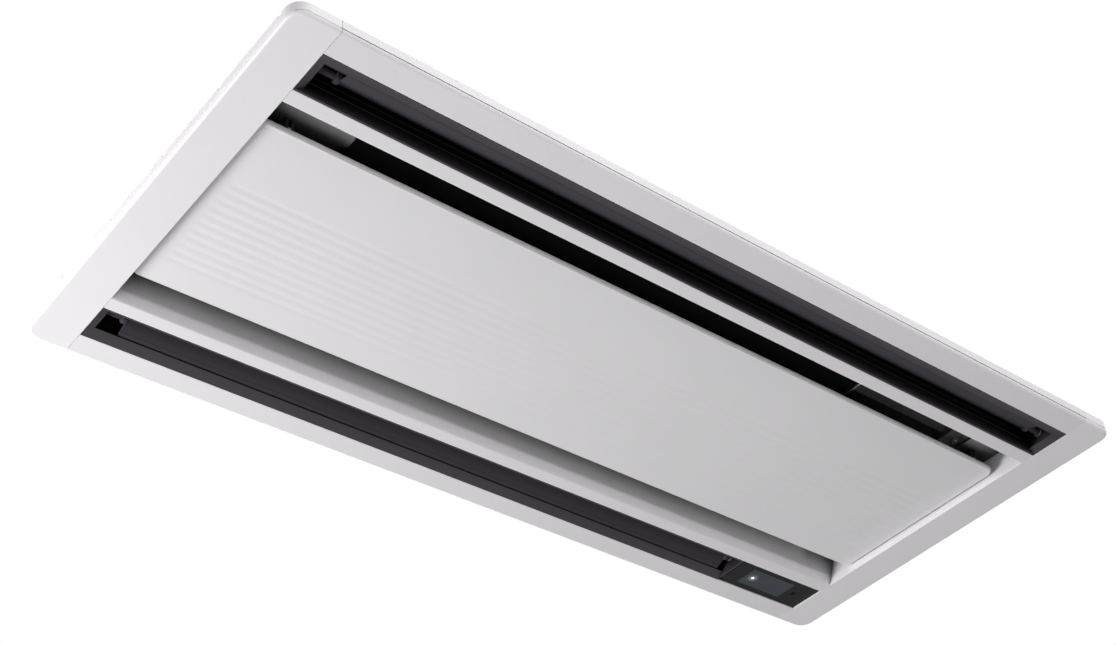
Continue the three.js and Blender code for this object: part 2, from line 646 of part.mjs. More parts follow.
function outletFrame(side) {
  const rear = side > 0;
  const z1 = CHUTE_H;
  const ledgeEnd = rear ? BULKHEAD_X + CHUTE_WALL : CHUTE_END;
  const ledgeRoot = SLOT_OUT - FIT;
  const slope = CHUTE_LEDGE_RISE / CHUTE_LEDGE_W;
  const skin = CHUTE_LEDGE_T + 1.5;
  const ledge = rail(side, [
    [ledgeRoot, 0], [CHUTE_TIP_V, CHUTE_LEDGE_RISE], [CHUTE_TIP_V, CHUTE_LEDGE_RISE + CHUTE_LEDGE_T],
    [CHUTE_OUT_IN, CHUTE_LEDGE_RISE + CHUTE_LEDGE_T], [CHUTE_OUT_IN, RAIL_LIP_H], [CHUTE_OUT, RAIL_LIP_H],
    [CHUTE_OUT, slope * (ledgeRoot - CHUTE_OUT) + skin], [ledgeRoot, skin],
  ], -CHUTE_END, ledgeEnd);
  const wallEnd = CHUTE_WALL_X + CHUTE_WALL;
  const wallRight = rear ? ledgeEnd : wallEnd;
  const pieces = [
    ledge,
    sideBox(side, -wallEnd, wallRight, CHUTE_OUT_IN, CHUTE_OUT, RAIL_LIP_H - 1, z1),
    sideBox(side, -CHUTE_END, ledgeEnd, CHUTE_IN, CHUTE_IN + CHUTE_WALL, 0, RAIL_LIP_H),
    sideBox(side, -wallEnd, wallRight, CHUTE_IN, CHUTE_IN + CHUTE_WALL, RAIL_LIP_H - 1, z1),
    endLedge(side, -1),
  ];
  const ductRight = rear ? BULKHEAD_X : DUCT_HALF_L;
  if (rear) {
    const low = RECEIVER_TOP_Z + FIT;
    pieces.push(
      sideBox(side, BULKHEAD_X, BULKHEAD_X + CHUTE_WALL, CHUTE_IN, CHUTE_OUT, 0, z1),
      sideBox(side, BULKHEAD_X, wallEnd, CHUTE_IN, CHUTE_IN + CHUTE_WALL, low, z1),
      sideBox(side, BULKHEAD_X, wallEnd, CHUTE_OUT_IN, CHUTE_OUT, low, z1),
      sideBox(side, CHUTE_WALL_X, wallEnd, CHUTE_IN, CHUTE_OUT, low, z1),
    );
  } else {
    pieces.push(endLedge(side, 1));
  }
  const roof = z1 - CHUTE_WALL;
  pieces.push(sideBox(side, -wallEnd, -DUCT_HALF_L, CHUTE_IN, CHUTE_OUT, roof, z1));
  pieces.push(sideBox(side, ductRight, wallEnd, CHUTE_IN, CHUTE_OUT, roof, z1));
  const [axisY, axisZ] = flapPoint(side);
  const bushX = rear ? BULKHEAD_X : CHUTE_WALL_X;
  return cut(join(pieces), [
    cylinder('x', FLAP_BOSS_R, -CHUTE_WALL_X - CHUTE_WALL - 1, -CHUTE_WALL_X + 1, axisY, axisZ),
    cylinder('x', BUSH_R + FIT, bushX - 1, bushX + CHUTE_WALL + 1, axisY, axisZ),
  ]);
}

// The sloped ledge and the upright wall that close an outlet at one end.
function endLedge(side, end) {
  const profile = [
    [end * CHUTE_END, 0], [end * CHUTE_WALL_X, CHUTE_LEDGE_RISE], [end * CHUTE_WALL_X, CHUTE_H],
    [end * (CHUTE_WALL_X + CHUTE_WALL), CHUTE_H],
    [end * (CHUTE_WALL_X + CHUTE_WALL), CHUTE_LEDGE_RISE + CHUTE_LEDGE_T],
    [end * CHUTE_END, CHUTE_LEDGE_T + 1.5],
  ];
  const shelf = [
    [end * CHUTE_END, 0], [end * CHUTE_WALL_X, CHUTE_LEDGE_RISE],
    [end * CHUTE_WALL_X, CHUTE_LEDGE_RISE + CHUTE_LEDGE_T], [end * CHUTE_END, CHUTE_LEDGE_T + 1.5],
  ];
  const near = Math.min(side * CHUTE_IN, side * CHUTE_OUT);
  const far = Math.max(side * CHUTE_IN, side * CHUTE_OUT);
  const shelfFar = side * (SLOT_OUT - FIT);
  return prism('y', profile, near, far)
    .add(prism('y', shelf, Math.min(near, shelfFar), Math.max(far, shelfFar)));
}

function flap(side) {
  const rear = side > 0;
  const left = -CHUTE_WALL_X + FLAP_END_GAP;
  const rightWall = rear ? BULKHEAD_X : CHUTE_WALL_X;
  const right = rightWall - (rear ? FLAP_CHEEK_T + 8 : FLAP_END_GAP);
  const lean = -THREE.MathUtils.degToRad(FLAP_REST_DEG);
  // The blade is an arc through its lip and its tail. Its belly faces down and towards the middle.
  const chord = FLAP_LIP_REACH + FLAP_TAIL_REACH;
  const radius = (chord * chord) / (8 * FLAP_SAG) + FLAP_SAG / 2;
  const halfAngle = Math.asin(chord / (2 * radius));
  const middleA = (FLAP_LIP_REACH - FLAP_TAIL_REACH) / 2;
  const steps = 8;
  const arc = (r, from, to) => {
    const points = [];
    for (let i = 0; i <= steps; i += 1) {
      const angle = from + ((to - from) * i) / steps;
      points.push(new THREE.Vector2(middleA + r * Math.sin(angle), radius - FLAP_SAG - r * Math.cos(angle)));
    }
    return points;
  };
  const section = [...arc(radius, -halfAngle, halfAngle), ...arc(radius - FLAP_T, halfAngle, -halfAngle)]
    .map((point) => point.rotateAround(new THREE.Vector2(), lean))
    .map((point) => [side * (FLAP_AXIS_V + point.x), FLAP_AXIS_Z + point.y]);
  const [y, z] = flapPoint(side);
  const clear = rightWall - 3 + FIT;
  const bossLeft = -CHUTE_WALL_X + 3 - FIT;
  const pieces = [
    prism('x', section, left, right),
    cylinder('x', FLAP_CHEEK_R, left - FLAP_CHEEK_T, left, y, z),
    cylinder('x', FLAP_CHEEK_R, right, right + FLAP_CHEEK_T, y, z),
    cylinder('x', FLAP_BOSS_R, bossLeft, left, y, z),
    cylinder('x', FLAP_BOSS_R, right, clear, y, z),
    cylinder('x', FLAP_PIN_R, right, rightWall + CHUTE_WALL + 1, y, z),
  ];
  // Ribs tie the blade to the axis near both ends.
  for (const x of [left, right - 3]) {
    pieces.push(cylinder('x', FLAP_CHEEK_R, x, x + 3, y, z));
  }
  const socket = cylinder('x', MOTOR_SHAFT_R + 0.4, bossLeft - 1, bossLeft + 9, y, z, 12);
  return join(pieces).subtract(socket);
}

function flapMotor(side) {
  const [y, z] = flapPoint(side);
  const x = -STEPPER_X;
  const can = cylinder('x', STEPPER_R, x - STEPPER_L, x, y, z, 24);
  const ears = box(x - 1.5, x, y - 16.5, y + 16.5, z - 3.5, z + 3.5);
  const shaft = cylinder('x', MOTOR_SHAFT_R, x - 1, -CHUTE_WALL_X + 10, y, z, 12);
  const plug = box(x - STEPPER_L + 3, x - 5, y - 6, y + 6, z + STEPPER_R - 2, z + STEPPER_R + 4);
  return join([can, ears, shaft, plug]);
}

function flapBush(side) {
  const x = side > 0 ? BULKHEAD_X : CHUTE_WALL_X;
  const [y, z] = flapPoint(side);
  const flange = cylinder('x', BUSH_R + 2.6, x - FIT - 2.1, x - FIT, y, z);
  const sleeve = cylinder('x', BUSH_R, x - FIT - 1, x + CHUTE_WALL + 1.2, y, z);
  return flange.add(sleeve).subtract(cylinder('x', FLAP_PIN_R + 0.4, x - 5, x + CHUTE_WALL + 5, y, z));
}

function vaneRack(side) {
  const left = -DUCT_HALF_L + FIT;
  const right = (side > 0 ? BULKHEAD_X : DUCT_HALF_L) - FIT;
  const top = CHUTE_H;
  const middleV = (CHUTE_IN + CHUTE_WALL + CHUTE_OUT_IN) / 2;
  const pieces = [sideBox(side, left, right, middleV - VANE_BAR_W / 2, middleV + VANE_BAR_W / 2,
    top - VANE_BAR_H, top)];
  const count = Math.floor((right - left) / VANE_PITCH);
  const first = (left + right) / 2 - ((count - 1) * VANE_PITCH) / 2;
  for (let i = 0; i < count; i += 1) {
    const x = first + i * VANE_PITCH;
    pieces.push(sideBox(side, x - VANE_T / 2, x + VANE_T / 2, CHUTE_IN + CHUTE_WALL + FIT,
      CHUTE_OUT_IN - FIT, top - VANE_H, top));
  }
  return join(pieces);
}

// ---------------------------------------------------------------- receiver
function receiverCover() {
  const w = TRIM_WALL - 0.5;
  const profile = [
    [RECEIVER_LEFT, RECEIVER_TOP_Z], [RECEIVER_LEFT, RECEIVER_TOP_Z - 4],
    [RECEIVER_LEFT + RECEIVER_BEVEL, RECEIVER_FACE_Z, 2], [RECEIVER_RIGHT, RECEIVER_FACE_Z],
    [RECEIVER_RIGHT, RECEIVER_TOP_Z],
  ];
  const hollow = [
    [RECEIVER_LEFT + w, RECEIVER_TOP_Z + 1], [RECEIVER_LEFT + w, RECEIVER_TOP_Z - 3.4],
    [RECEIVER_LEFT + RECEIVER_BEVEL + 0.8, RECEIVER_FACE_Z + w], [RECEIVER_RIGHT - w, RECEIVER_FACE_Z + w],
    [RECEIVER_RIGHT - w, RECEIVER_TOP_Z + 1],
  ];
  const body = prism('y', profile, RECEIVER_IN, RECEIVER_OUT)
    .subtract(prism('y', hollow, RECEIVER_IN + w, RECEIVER_OUT - w));
  const windowHalf = WINDOW_W / 2;
  const rim = 2;
  const recess = box(WINDOW_X0 - FIT, WINDOW_X1 + FIT, RECEIVER_MID_V - windowHalf - FIT,
    RECEIVER_MID_V + windowHalf + FIT, 0, RECEIVER_FACE_Z + WINDOW_T);
  const look = box(WINDOW_X0 + rim, WINDOW_X1 - rim, RECEIVER_MID_V - windowHalf + rim,
    RECEIVER_MID_V + windowHalf - rim, 0, RECEIVER_FACE_Z + 4);
  const half = BUTTON_W / 2 + FIT;
  const keyHole = box(BUTTON_X - half, BUTTON_X + half, RECEIVER_MID_V - half, RECEIVER_MID_V + half, 0, 6);
  const posts = [[RECEIVER_LEFT + 20, -1], [RECEIVER_RIGHT - 6, 1]].map(([x, step]) =>
    cylinder('z', 2.6, RECEIVER_FACE_Z + 1, RECEIVER_BOARD_Z - FIT, x, RECEIVER_MID_V + step * 22, 10));
  return join([cut(body, [recess, look, keyHole]), ...posts]);
}

function receiverWindow() {
  const z0 = RECEIVER_FACE_Z - 0.2;
  return box(WINDOW_X0, WINDOW_X1, RECEIVER_MID_V - WINDOW_W / 2, RECEIVER_MID_V + WINDOW_W / 2,
    z0, RECEIVER_FACE_Z + WINDOW_T - FIT)
    .subtract(cylinder('z', LED_R + FIT, 0, 8, LED_X, RECEIVER_MID_V, 14));
}

function statusLed() {
  const top = RECEIVER_BOARD_Z - FIT;
  const lens = cylinder('z', LED_R, RECEIVER_FACE_Z - 0.4, top, LED_X, RECEIVER_MID_V, 14);
  return lens.add(cylinder('z', LED_R + 0.8, RECEIVER_BOARD_Z - 2, top, LED_X, RECEIVER_MID_V, 14));
}

function receiverButton() {
  const half = BUTTON_W / 2;
  const cap = box(BUTTON_X - half, BUTTON_X + half, RECEIVER_MID_V - half, RECEIVER_MID_V + half,
    RECEIVER_FACE_Z - 0.4, RECEIVER_FACE_Z + 3.4);
  const stop = box(BUTTON_X - half - 1.5, BUTTON_X + half + 1.5, RECEIVER_MID_V - half, RECEIVER_MID_V + half,
    RECEIVER_FACE_Z + 2 + FIT, RECEIVER_FACE_Z + 3.4);
  const stem = cylinder('z', 1.4, RECEIVER_FACE_Z + 3, SWITCH_Z - BUTTON_TRAVEL - FIT, BUTTON_X,
    RECEIVER_MID_V, 10);
  return join([cap, stop, stem]);
}

function receiverBoard() {
  const z0 = RECEIVER_BOARD_Z;
  const board = box(RECEIVER_LEFT + 12, RECEIVER_RIGHT - 3, RECEIVER_IN + 4, RECEIVER_OUT - 4,
    z0, z0 + BOARD_T);
  const tactSwitch = box(BUTTON_X - 3, BUTTON_X + 3, RECEIVER_MID_V - 3, RECEIVER_MID_V + 3, SWITCH_Z, z0 + 1);
  const eye = box(WINDOW_X1 - 14, WINDOW_X1 - 6, RECEIVER_MID_V - 4, RECEIVER_MID_V + 4, 4.6, z0 + 1);
  const socket = box(RECEIVER_LEFT + 30, RECEIVER_LEFT + 44, RECEIVER_MID_V - 6, RECEIVER_MID_V + 6,
    z0 + 1, z0 + BOARD_T + 3.6);
  return join([board, tactSwitch, eye, socket]);
}

// ---------------------------------------------------------------- inlet plate and filter
function intakeGrille() {
  const top = GRILLE_Z + GRILLE_RIM_H;
  const slab = roundedSlab(GRILLE_HALF_L, GRILLE_HALF_W, GRILLE_CORNER_R, GRILLE_EDGE_R, GRILLE_Z, top);
  const inner = plainSlab(GRILLE_HALF_L - TRIM_WALL, GRILLE_HALF_W - TRIM_WALL,
    smaller(GRILLE_CORNER_R, TRIM_WALL), GRILLE_Z + GRILLE_SKIN, top + 1);
  const grooves = [];
  for (let i = 0; i < GROOVE_COUNT; i += 1) {
    const y = GROOVE_FIRST_Y + i * GROOVE_PITCH;
    const end = GRILLE_HALF_L - GROOVE_END;
    grooves.push(prism('x', [[y - GROOVE_W / 2, GRILLE_Z - 0.01], [y, GRILLE_Z + GROOVE_DEPTH],
      [y + GROOVE_W / 2, GRILLE_Z - 0.01]], -end, end));
  }
  const pieces = [];
  const ribHalf = GRILLE_HALF_W - 1;
  for (const x of [-440, -220, 0, 220, 440]) {
    pieces.push(box(x - 1, x + 1, -ribHalf, ribHalf, GRILLE_Z + GRILLE_SKIN - 0.5, top - 1));
  }
  for (const end of [-1, 1]) {
    const x = end * HINGE_X;
    pieces.push(hingeEar(x));
    pieces.push(box(x - LUG_T / 2, x + LUG_T / 2, CATCH_V - 5, CATCH_V + 5,
      GRILLE_Z + GRILLE_SKIN - 0.5, LEDGE_Z - 4));
  }
  return join([cut(slab, [inner, ...grooves]), ...pieces]);
}

function hingeEar(x) {
  const profile = outline([
    [-HINGE_V - 9, GRILLE_Z + 1], [-HINGE_V + 9, GRILLE_Z + 1],
    [-HINGE_V + 5, HINGE_Z + 5, 4], [-HINGE_V - 5, HINGE_Z + 5, 4],
  ]);
  const ear = prism('x', profile, x - HINGE_EAR_T / 2, x + HINGE_EAR_T / 2);
  const pinHalf = HINGE_EAR_T / 2 + FIT + LUG_T + 1.5;
  return ear.add(cylinder('x', HINGE_PIN_R, x - pinHalf, x + pinHalf, -HINGE_V, HINGE_Z));
}

function airFilter() {
  const halfW = FILTER_W / 2;
  const z1 = FILTER_Z + FILTER_T;
  const frame = box(FILTER_LEFT, FILTER_RIGHT, -halfW, halfW, FILTER_Z, z1);
  const hole = box(FILTER_LEFT + FILTER_RIM, FILTER_RIGHT - FILTER_RIM, -halfW + FILTER_RIM,
    halfW - FILTER_RIM, FILTER_Z - 1, z1 + 1);
  const meshZ = FILTER_Z + (FILTER_T - FILTER_MESH_T) / 2;
  const pieces = [box(FILTER_LEFT + 2, FILTER_RIGHT - 2, -halfW + 2, halfW - 2, meshZ, meshZ + FILTER_MESH_T)];
  const clearL = FILTER_RIGHT - FILTER_LEFT;
  const barLow = FILTER_Z + FILTER_BAR_INSET;
  const barTop = z1 - FILTER_BAR_INSET;
  for (let i = 1; i <= FILTER_BARS_X; i += 1) {
    const x = FILTER_LEFT + (clearL * i) / (FILTER_BARS_X + 1);
    pieces.push(box(x - FILTER_BAR_W / 2, x + FILTER_BAR_W / 2, -halfW + 2, halfW - 2, barLow, barTop));
  }
  for (let i = 1; i <= FILTER_BARS_Y; i += 1) {
    const y = -halfW + (FILTER_W * i) / (FILTER_BARS_Y + 1);
    pieces.push(box(FILTER_LEFT + 2, FILTER_RIGHT - 2, y - FILTER_BAR_W / 2, y + FILTER_BAR_W / 2,
      barLow, barTop));
  }
  return join([frame.subtract(hole), ...pieces]);
}

function screw([x, y], headZ) {
  const headLow = headZ - SCREW_HEAD_H;
  const head = cylinder('z', SCREW_HEAD_R, headLow, headZ, x, y, 14);
  const shank = cylinder('z', SCREW_SHANK_R, headZ - 0.5, headZ + SCREW_L, x, y, 10);
  const arm = SCREW_HEAD_R * 0.55;
  const half = 0.5;
  const deep = headLow + SCREW_HEAD_H / 2;
  return cut(head.add(shank), [
    box(x - arm, x + arm, y - half, y + half, headLow - 1, deep),
    box(x - half, x + half, y - arm, y + arm, headLow - 1, deep),
  ]);
}

// A bent steel strip from the right ledge to the control box.
function boxBracket() {
  const z0 = LEDGE_TOP + FIT;
  const x0 = BOX_RIGHT + FIT;
  const y0 = BRACKET_Y - BRACKET_W / 2;
  const y1 = BRACKET_Y + BRACKET_W / 2;
  const flat = box(x0 + 1, LEDGE_RIGHT_EDGE + BRACKET_OVERLAP, y0, y1, z0, z0 + BRACKET_T);
  const upright = box(x0, x0 + BRACKET_T, y0, y1, z0, PAN_Z - 1);
  const hole = cylinder('z', SCREW_HOLE_R, z0 - 1, z0 + BRACKET_T + 1, ...BRACKET_SCREW, 12);
  return flat.add(upright).subtract(hole);
}

// ---------------------------------------------------------------- casing
function casingSide(side) {
  const foot = BODY_FOOT;
  const top = BODY_TOP - SHEET - FIT;
  const wall = HALF_BODY_W - SHEET;
  return rail(side, [
    [wall, foot], [HALF_BODY_W + CASING_FLANGE, foot], [HALF_BODY_W + CASING_FLANGE, foot + SHEET],
    [HALF_BODY_W, foot + SHEET], [HALF_BODY_W, top], [HALF_BODY_W - CASING_FLANGE, top],
    [HALF_BODY_W - CASING_FLANGE, top - SHEET], [wall, top - SHEET],
  ], -HALF_BODY_L, HALF_BODY_L);
}

function casingTop() {
  const plate = box(-HALF_BODY_L, HALF_BODY_L, -HALF_BODY_W, HALF_BODY_W, BODY_TOP - SHEET, BODY_TOP);
  const beads = [];
  const beadEnd = HALF_BODY_W - CASING_BEAD_SETBACK;
  const outer = HALF_BODY_L - 90;
  for (const x of [-outer, (FAN_XS[0] + FAN_XS[1]) / 2, BOX_LEFT - 22, outer]) {
    beads.push(prism('y', [[x - 9, BODY_TOP - 0.2], [x - 5, BODY_TOP + CASING_BEAD_H],
      [x + 5, BODY_TOP + CASING_BEAD_H], [x + 9, BODY_TOP - 0.2]], -beadEnd, beadEnd));
  }
  return join([plate, ...beads]);
}

function casingEnd(side) {
  const x0 = side * (HALF_BODY_L - SHEET);
  const x1 = side * HALF_BODY_L;
  const halfW = HALF_BODY_W - SHEET - FIT;
  const top = BODY_TOP - 2 * SHEET - 2 * FIT;
  const wall = box(x0, x1, -halfW, halfW, END_PLATE_FOOT, top);
  const holes = [];
  const bore = (r, y, z) => cylinder('x', r, side * HALF_BODY_L - 5, side * HALF_BODY_L + 5, y, z, 20);
  if (side < 0) {
    for (const line of [GAS, LIQUID]) holes.push(bore(line.radius + 1, line.y, line.z));
    holes.push(bore(SPIGOT_R - SPIGOT_WALL, PUMP_Y, SPIGOT_Z));
  } else {
    holes.push(bore(GLAND_R - 2, GLAND_Y, GLAND_Z));
  }
  return cut(wall, holes);
}

// A folded steel ear: a plate on the casing's end and a slotted shelf for the hanging rod.
function hangerBracket(side, end) {
  const x0 = end * (HALF_BODY_L + FIT);
  const x1 = end * (HALF_BODY_L + FIT + HANGER_T);
  const far = end * (HALF_BODY_L + HANGER_REACH);
  const y = side * HANGER_V;
  const half = HANGER_W / 2;
  const wall = box(x0, x1, y - half, y + half, HANGER_Z - HANGER_RISE, HANGER_Z);
  const shelf = box(x0, far, y - half, y + half, HANGER_Z - HANGER_T, HANGER_Z);
  const cheeks = [-1, 1].map((step) => {
    const edge = y + step * (half - HANGER_T - 0.5);
    const tip = far - end * 2;
    const profile = [[x0 + end, HANGER_Z - 1], [tip, HANGER_Z - 1], [tip, HANGER_Z - 8],
      [x0 + end, HANGER_Z - HANGER_RISE + 4]];
    return prism('y', profile, Math.min(edge, edge + step * HANGER_T), Math.max(edge, edge + step * HANGER_T));
  });
  const slotX = end * (HALF_BODY_L + HANGER_REACH / 2 + 3);
  const slot = box(slotX - HANGER_SLOT_W / 2, slotX + HANGER_SLOT_W / 2, y - HANGER_SLOT_L / 2,
    y + HANGER_SLOT_L / 2, HANGER_Z - 9, HANGER_Z + 1);
  return join([wall, shelf, ...cheeks]).subtract(slot);
}

function ductLiner(side) {
  const out = HALF_BODY_W - SHEET - FIT;
  const end = HALF_BODY_L - SHEET - FIT;
  return sideBox(side, -end, end, out - LINER_T, out, CHUTE_H + FIT, BODY_TOP - 2 * SHEET - 3 * FIT);
}

// ---------------------------------------------------------------- drain pan, inlet rings and fans
function drainPan() {
  const floor = box(-PAN_HALF_L, PAN_HALF_L, -PAN_HALF_W, PAN_HALF_W, PAN_Z, PAN_FLOOR_TOP);
  const wallTop = PAN_TOP;
  const rim = box(-PAN_HALF_L, PAN_HALF_L, -PAN_HALF_W, PAN_HALF_W, PAN_Z, wallTop)
    .subtract(box(-PAN_HALF_L + PAN_WALL, PAN_HALF_L - PAN_WALL, -PAN_HALF_W + PAN_WALL,
      PAN_HALF_W - PAN_WALL, PAN_Z - 1, wallTop + 1));
  const collarTop = PAN_Z + PAN_COLLAR_H;
  const gap = FIT + 0.2;
  const boxHalf = BOX_W / 2 + gap;
  const collars = [box(BOX_LEFT - gap - PAN_WALL, BOX_RIGHT + gap + PAN_WALL - 2, -boxHalf - PAN_WALL,
    boxHalf + PAN_WALL, PAN_Z, collarTop)];
  const holes = [box(BOX_LEFT - gap, BOX_RIGHT + gap, -boxHalf, boxHalf, PAN_Z - 1, collarTop + 1)];
  for (const x of FAN_XS) {
    collars.push(cylinder('z', PAN_HOLE_R + PAN_WALL, PAN_Z, collarTop, x, 0, FAN_SEGMENTS));
    holes.push(cylinder('z', PAN_HOLE_R, PAN_Z - 1, collarTop + 1, x, 0, FAN_SEGMENTS));
  }
  return cut(join([floor, rim, ...collars]), holes);
}

function bellmouth(x) {
  const z0 = PAN_Z - FIT - BELL_T;
  const steps = 4;
  const outer = [];
  const inner = [];
  const flare = PAN_HOLE_R - 4 - BELL_THROAT_R;
  for (let i = 0; i <= steps; i += 1) {
    const angle = (Math.PI / 2) * (i / steps);
    const radius = BELL_THROAT_R + flare * (1 - Math.sin(angle));
    const z = z0 + (BELL_TOP - 12 - z0) * (1 - Math.cos(angle));
    inner.push([radius, z]);
    outer.push([radius + BELL_T, z + BELL_T * Math.cos(angle)]);
  }
  const profile = [
    [BELL_FLANGE_R, z0], ...inner, [BELL_THROAT_R, BELL_TOP], [BELL_THROAT_R + BELL_T, BELL_TOP],
    ...outer.reverse(), [BELL_FLANGE_R, z0 + BELL_T],
  ];
  return turned(profile, x, 0);
}

function fanWheel(x) {
  const outletLow = FAN_BACK_Z - FAN_OUTLET_H;
  const shroudLine = [
    [FAN_EYE_R, FAN_SHROUD_Z], [FAN_EYE_R + 3, FAN_SHROUD_Z + 14], [FAN_EYE_R + 16, outletLow - 7],
    [FAN_R, outletLow],
  ];
  const shroud = turned([...shroudLine, ...shroudLine.map(([r, z]) => [r, z + FAN_SKIN]).reverse()], x, 0);
  const hubTop = FAN_BACK_Z - FAN_HUB_DEPTH;
  const back = turned([
    [0, hubTop], [20, hubTop], [34, hubTop + 8], [FAN_HUB_R, FAN_BACK_Z - FAN_SKIN - 1],
    [FAN_R, FAN_BACK_Z - FAN_SKIN], [FAN_R, FAN_BACK_Z], [FAN_HUB_R, FAN_BACK_Z - 1],
    [34, hubTop + 14], [22, hubTop + 8], [12, hubTop + 8],
    [12, hubTop + 26], [0, hubTop + 26],
  ], x, 0);
  const envelope = turned([
    ...shroudLine.map(([r, z]) => [r, z + FAN_SKIN / 2]).reverse(), [70, FAN_SHROUD_Z + 14],
    [FAN_HUB_R, FAN_BACK_Z - 2], [FAN_R - 1, FAN_BACK_Z - 2],
  ], x, 0);
  const blades = [];
  const bladeSteps = 3;
  const root = FAN_HUB_R + 2;
  for (let i = 0; i < FAN_BLADES; i += 1) {
    const front = [];
    const rear = [];
    for (let k = 0; k <= bladeSteps; k += 1) {
      const t = k / bladeSteps;
      const radius = root + (FAN_R - 2 - root) * t;
      const angle = (2 * Math.PI * i) / FAN_BLADES + FAN_SWEEP * t * (1 - t / 4);
      const half = FAN_BLADE_T / 2 / radius;
      front.push([x + radius * Math.cos(angle + half), radius * Math.sin(angle + half)]);
      rear.push([x + radius * Math.cos(angle - half), radius * Math.sin(angle - half)]);
    }
    blades.push(prism('z', [...rear, ...front.reverse()], FAN_SHROUD_Z, FAN_BACK_Z));
  }
  const bladeRing = join(blades).intersect(envelope);
  const bore = cylinder('z', FAN_SHAFT_R + 0.4, hubTop - 1, hubTop + 40, x, 0, 16);
  return join([shroud, back, bladeRing]).subtract(bore);
}

function fanMotor(x) {
  const top = BODY_TOP - SHEET - FIT;
  const canTop = top - 6;
  const canLow = canTop - FAN_MOTOR_H;
  const can = turned([
    [0, canLow], [30, canLow], [FAN_MOTOR_R - 6, canLow + 6], [FAN_MOTOR_R, canLow + 14],
    [FAN_MOTOR_R, canTop], [0, canTop],
  ], x, 0, 18);
  const shaft = cylinder('z', FAN_SHAFT_R, FAN_BACK_Z - 60, canLow + 1, x, 0, 16);
  const feet = [];
  for (let i = 0; i < 3; i += 1) {
    const angle = (2 * Math.PI * i) / 3 + Math.PI / 6;
    const far = FAN_MOTOR_R + 14;
    const fx = x + far * Math.cos(angle);
    const fy = far * Math.sin(angle);
    feet.push(cylinder('z', 11, canTop - 10, top, fx, fy, 8));
    const arm = new THREE.BoxGeometry(30, 14, 4).translate(FAN_MOTOR_R, 0, canTop - 4);
    feet.push(solid(arm.rotateZ(angle).translate(x, 0, 0)));
  }
  return join([can, shaft, ...feet]);
}

// ---------------------------------------------------------------- coils and refrigerant pipes
function coil(side) {
  const v0 = COIL_V;
  const v1 = COIL_V + COIL_T;
  const block = sideBox(side, COIL_LEFT, COIL_RIGHT, v0 + 1, v1 - 1, COIL_Z + 1, COIL_TOP - 1);
  const pieces = [
    block,
    sideBox(side, COIL_LEFT - COIL_PLATE_T, COIL_LEFT, v0, v1, COIL_Z - 2 + FIT, COIL_TOP),
    sideBox(side, COIL_RIGHT, COIL_RIGHT + COIL_PLATE_T, v0, v1, COIL_Z - 2 + FIT, COIL_TOP),
  ];
  const pitch = (COIL_TOP - COIL_Z) / COIL_BENDS;
  for (let i = 0; i < COIL_BENDS; i += 1) {
    const z = COIL_Z + pitch * (i + 0.5);
    const v = side * (COIL_V + COIL_T / 2);
    const reach = COIL_RIGHT + COIL_PLATE_T + 14;
    const half = pitch / 4;
    pieces.push(tube([[COIL_RIGHT, v, z - half], [reach, v, z - half], [reach, v, z + half],
      [COIL_RIGHT, v, z + half]], COIL_TUBE_R, 8, 7, 6));
  }
  return join(pieces);
}

// One branch from each coil meets a single stub that leaves through the casing's left end.
function refrigerantPipe({ radius, y, z, offset, runX, coilZ }) {
  const v = COIL_V + COIL_T / 2 + offset;
  const near = v - PIPE_SHOULDER;
  const start = COIL_LEFT - COIL_PLATE_T - FIT;
  const collector = tube([[start, -v, coilZ], [runX, -v, coilZ], [runX, -near, z], [runX, near, z],
    [runX, v, coilZ], [start, v, coilZ]], radius, radius * 2, 24, 7);
  return collector.add(tube([[runX, y, z], [-HALF_BODY_L - PIPE_STUB, y, z]], radius, radius * 2, 1, 10));
}

function flareNut({ radius, y, z }) {
  const x1 = -HALF_BODY_L - PIPE_STUB + NUT_OVERLAP;
  return cylinder('x', radius * 1.75, x1 - NUT_L, x1, y, z, 6)
    .subtract(cylinder('x', radius + 0.5, x1 - NUT_L - 1, x1 + 1, y, z, 16));
}

// ---------------------------------------------------------------- drain pump
function drainPump() {
  const top = PUMP_FOOT_Z + PUMP_H;
  const body = cylinder('z', PUMP_R, PUMP_FOOT_Z + 12, top, PUMP_X, PUMP_Y, 20);
  const inlet = cylinder('z', 12, PUMP_FOOT_Z - 5, PUMP_FOOT_Z + 13, PUMP_X, PUMP_Y, 14);
  const arm = box(-HALF_BODY_L + SHEET + FIT, PUMP_X, PUMP_Y - 12, PUMP_Y + 12, top - 8, top - 4);
  const foot = box(-HALF_BODY_L + SHEET + FIT, -HALF_BODY_L + SHEET + FIT + 3, PUMP_Y - 22, PUMP_Y + 22,
    top - 26, top + 10);
  const floatArm = box(PUMP_X - 5, PUMP_X + 5, PUMP_Y, FLOAT_Y + 5, top - 8, top - 4);
  const stem = cylinder('z', FLOAT_STEM_R, FLOAT_Z - 0.6, top - 5, PUMP_X, FLOAT_Y, 10);
  const stopRing = cylinder('z', FLOAT_STEM_R + 2.4, FLOAT_Z + FLOAT_H + FLOAT_TRAVEL + FIT,
    top - 5, PUMP_X, FLOAT_Y, 10);
  const outlet = cylinder('z', HOSE_R - 1, top - 1, top + PUMP_OUTLET_H, PUMP_X, PUMP_Y, 14);
  return join([body, inlet, arm, foot, floatArm, stem, stopRing, outlet]);
}

function pumpFloat() {
  return cylinder('z', FLOAT_R, FLOAT_Z, FLOAT_Z + FLOAT_H, PUMP_X, FLOAT_Y, 16)
    .subtract(cylinder('z', FLOAT_STEM_R + 0.5, FLOAT_Z - 1, FLOAT_Z + FLOAT_H + 1, PUMP_X, FLOAT_Y, 10));
}

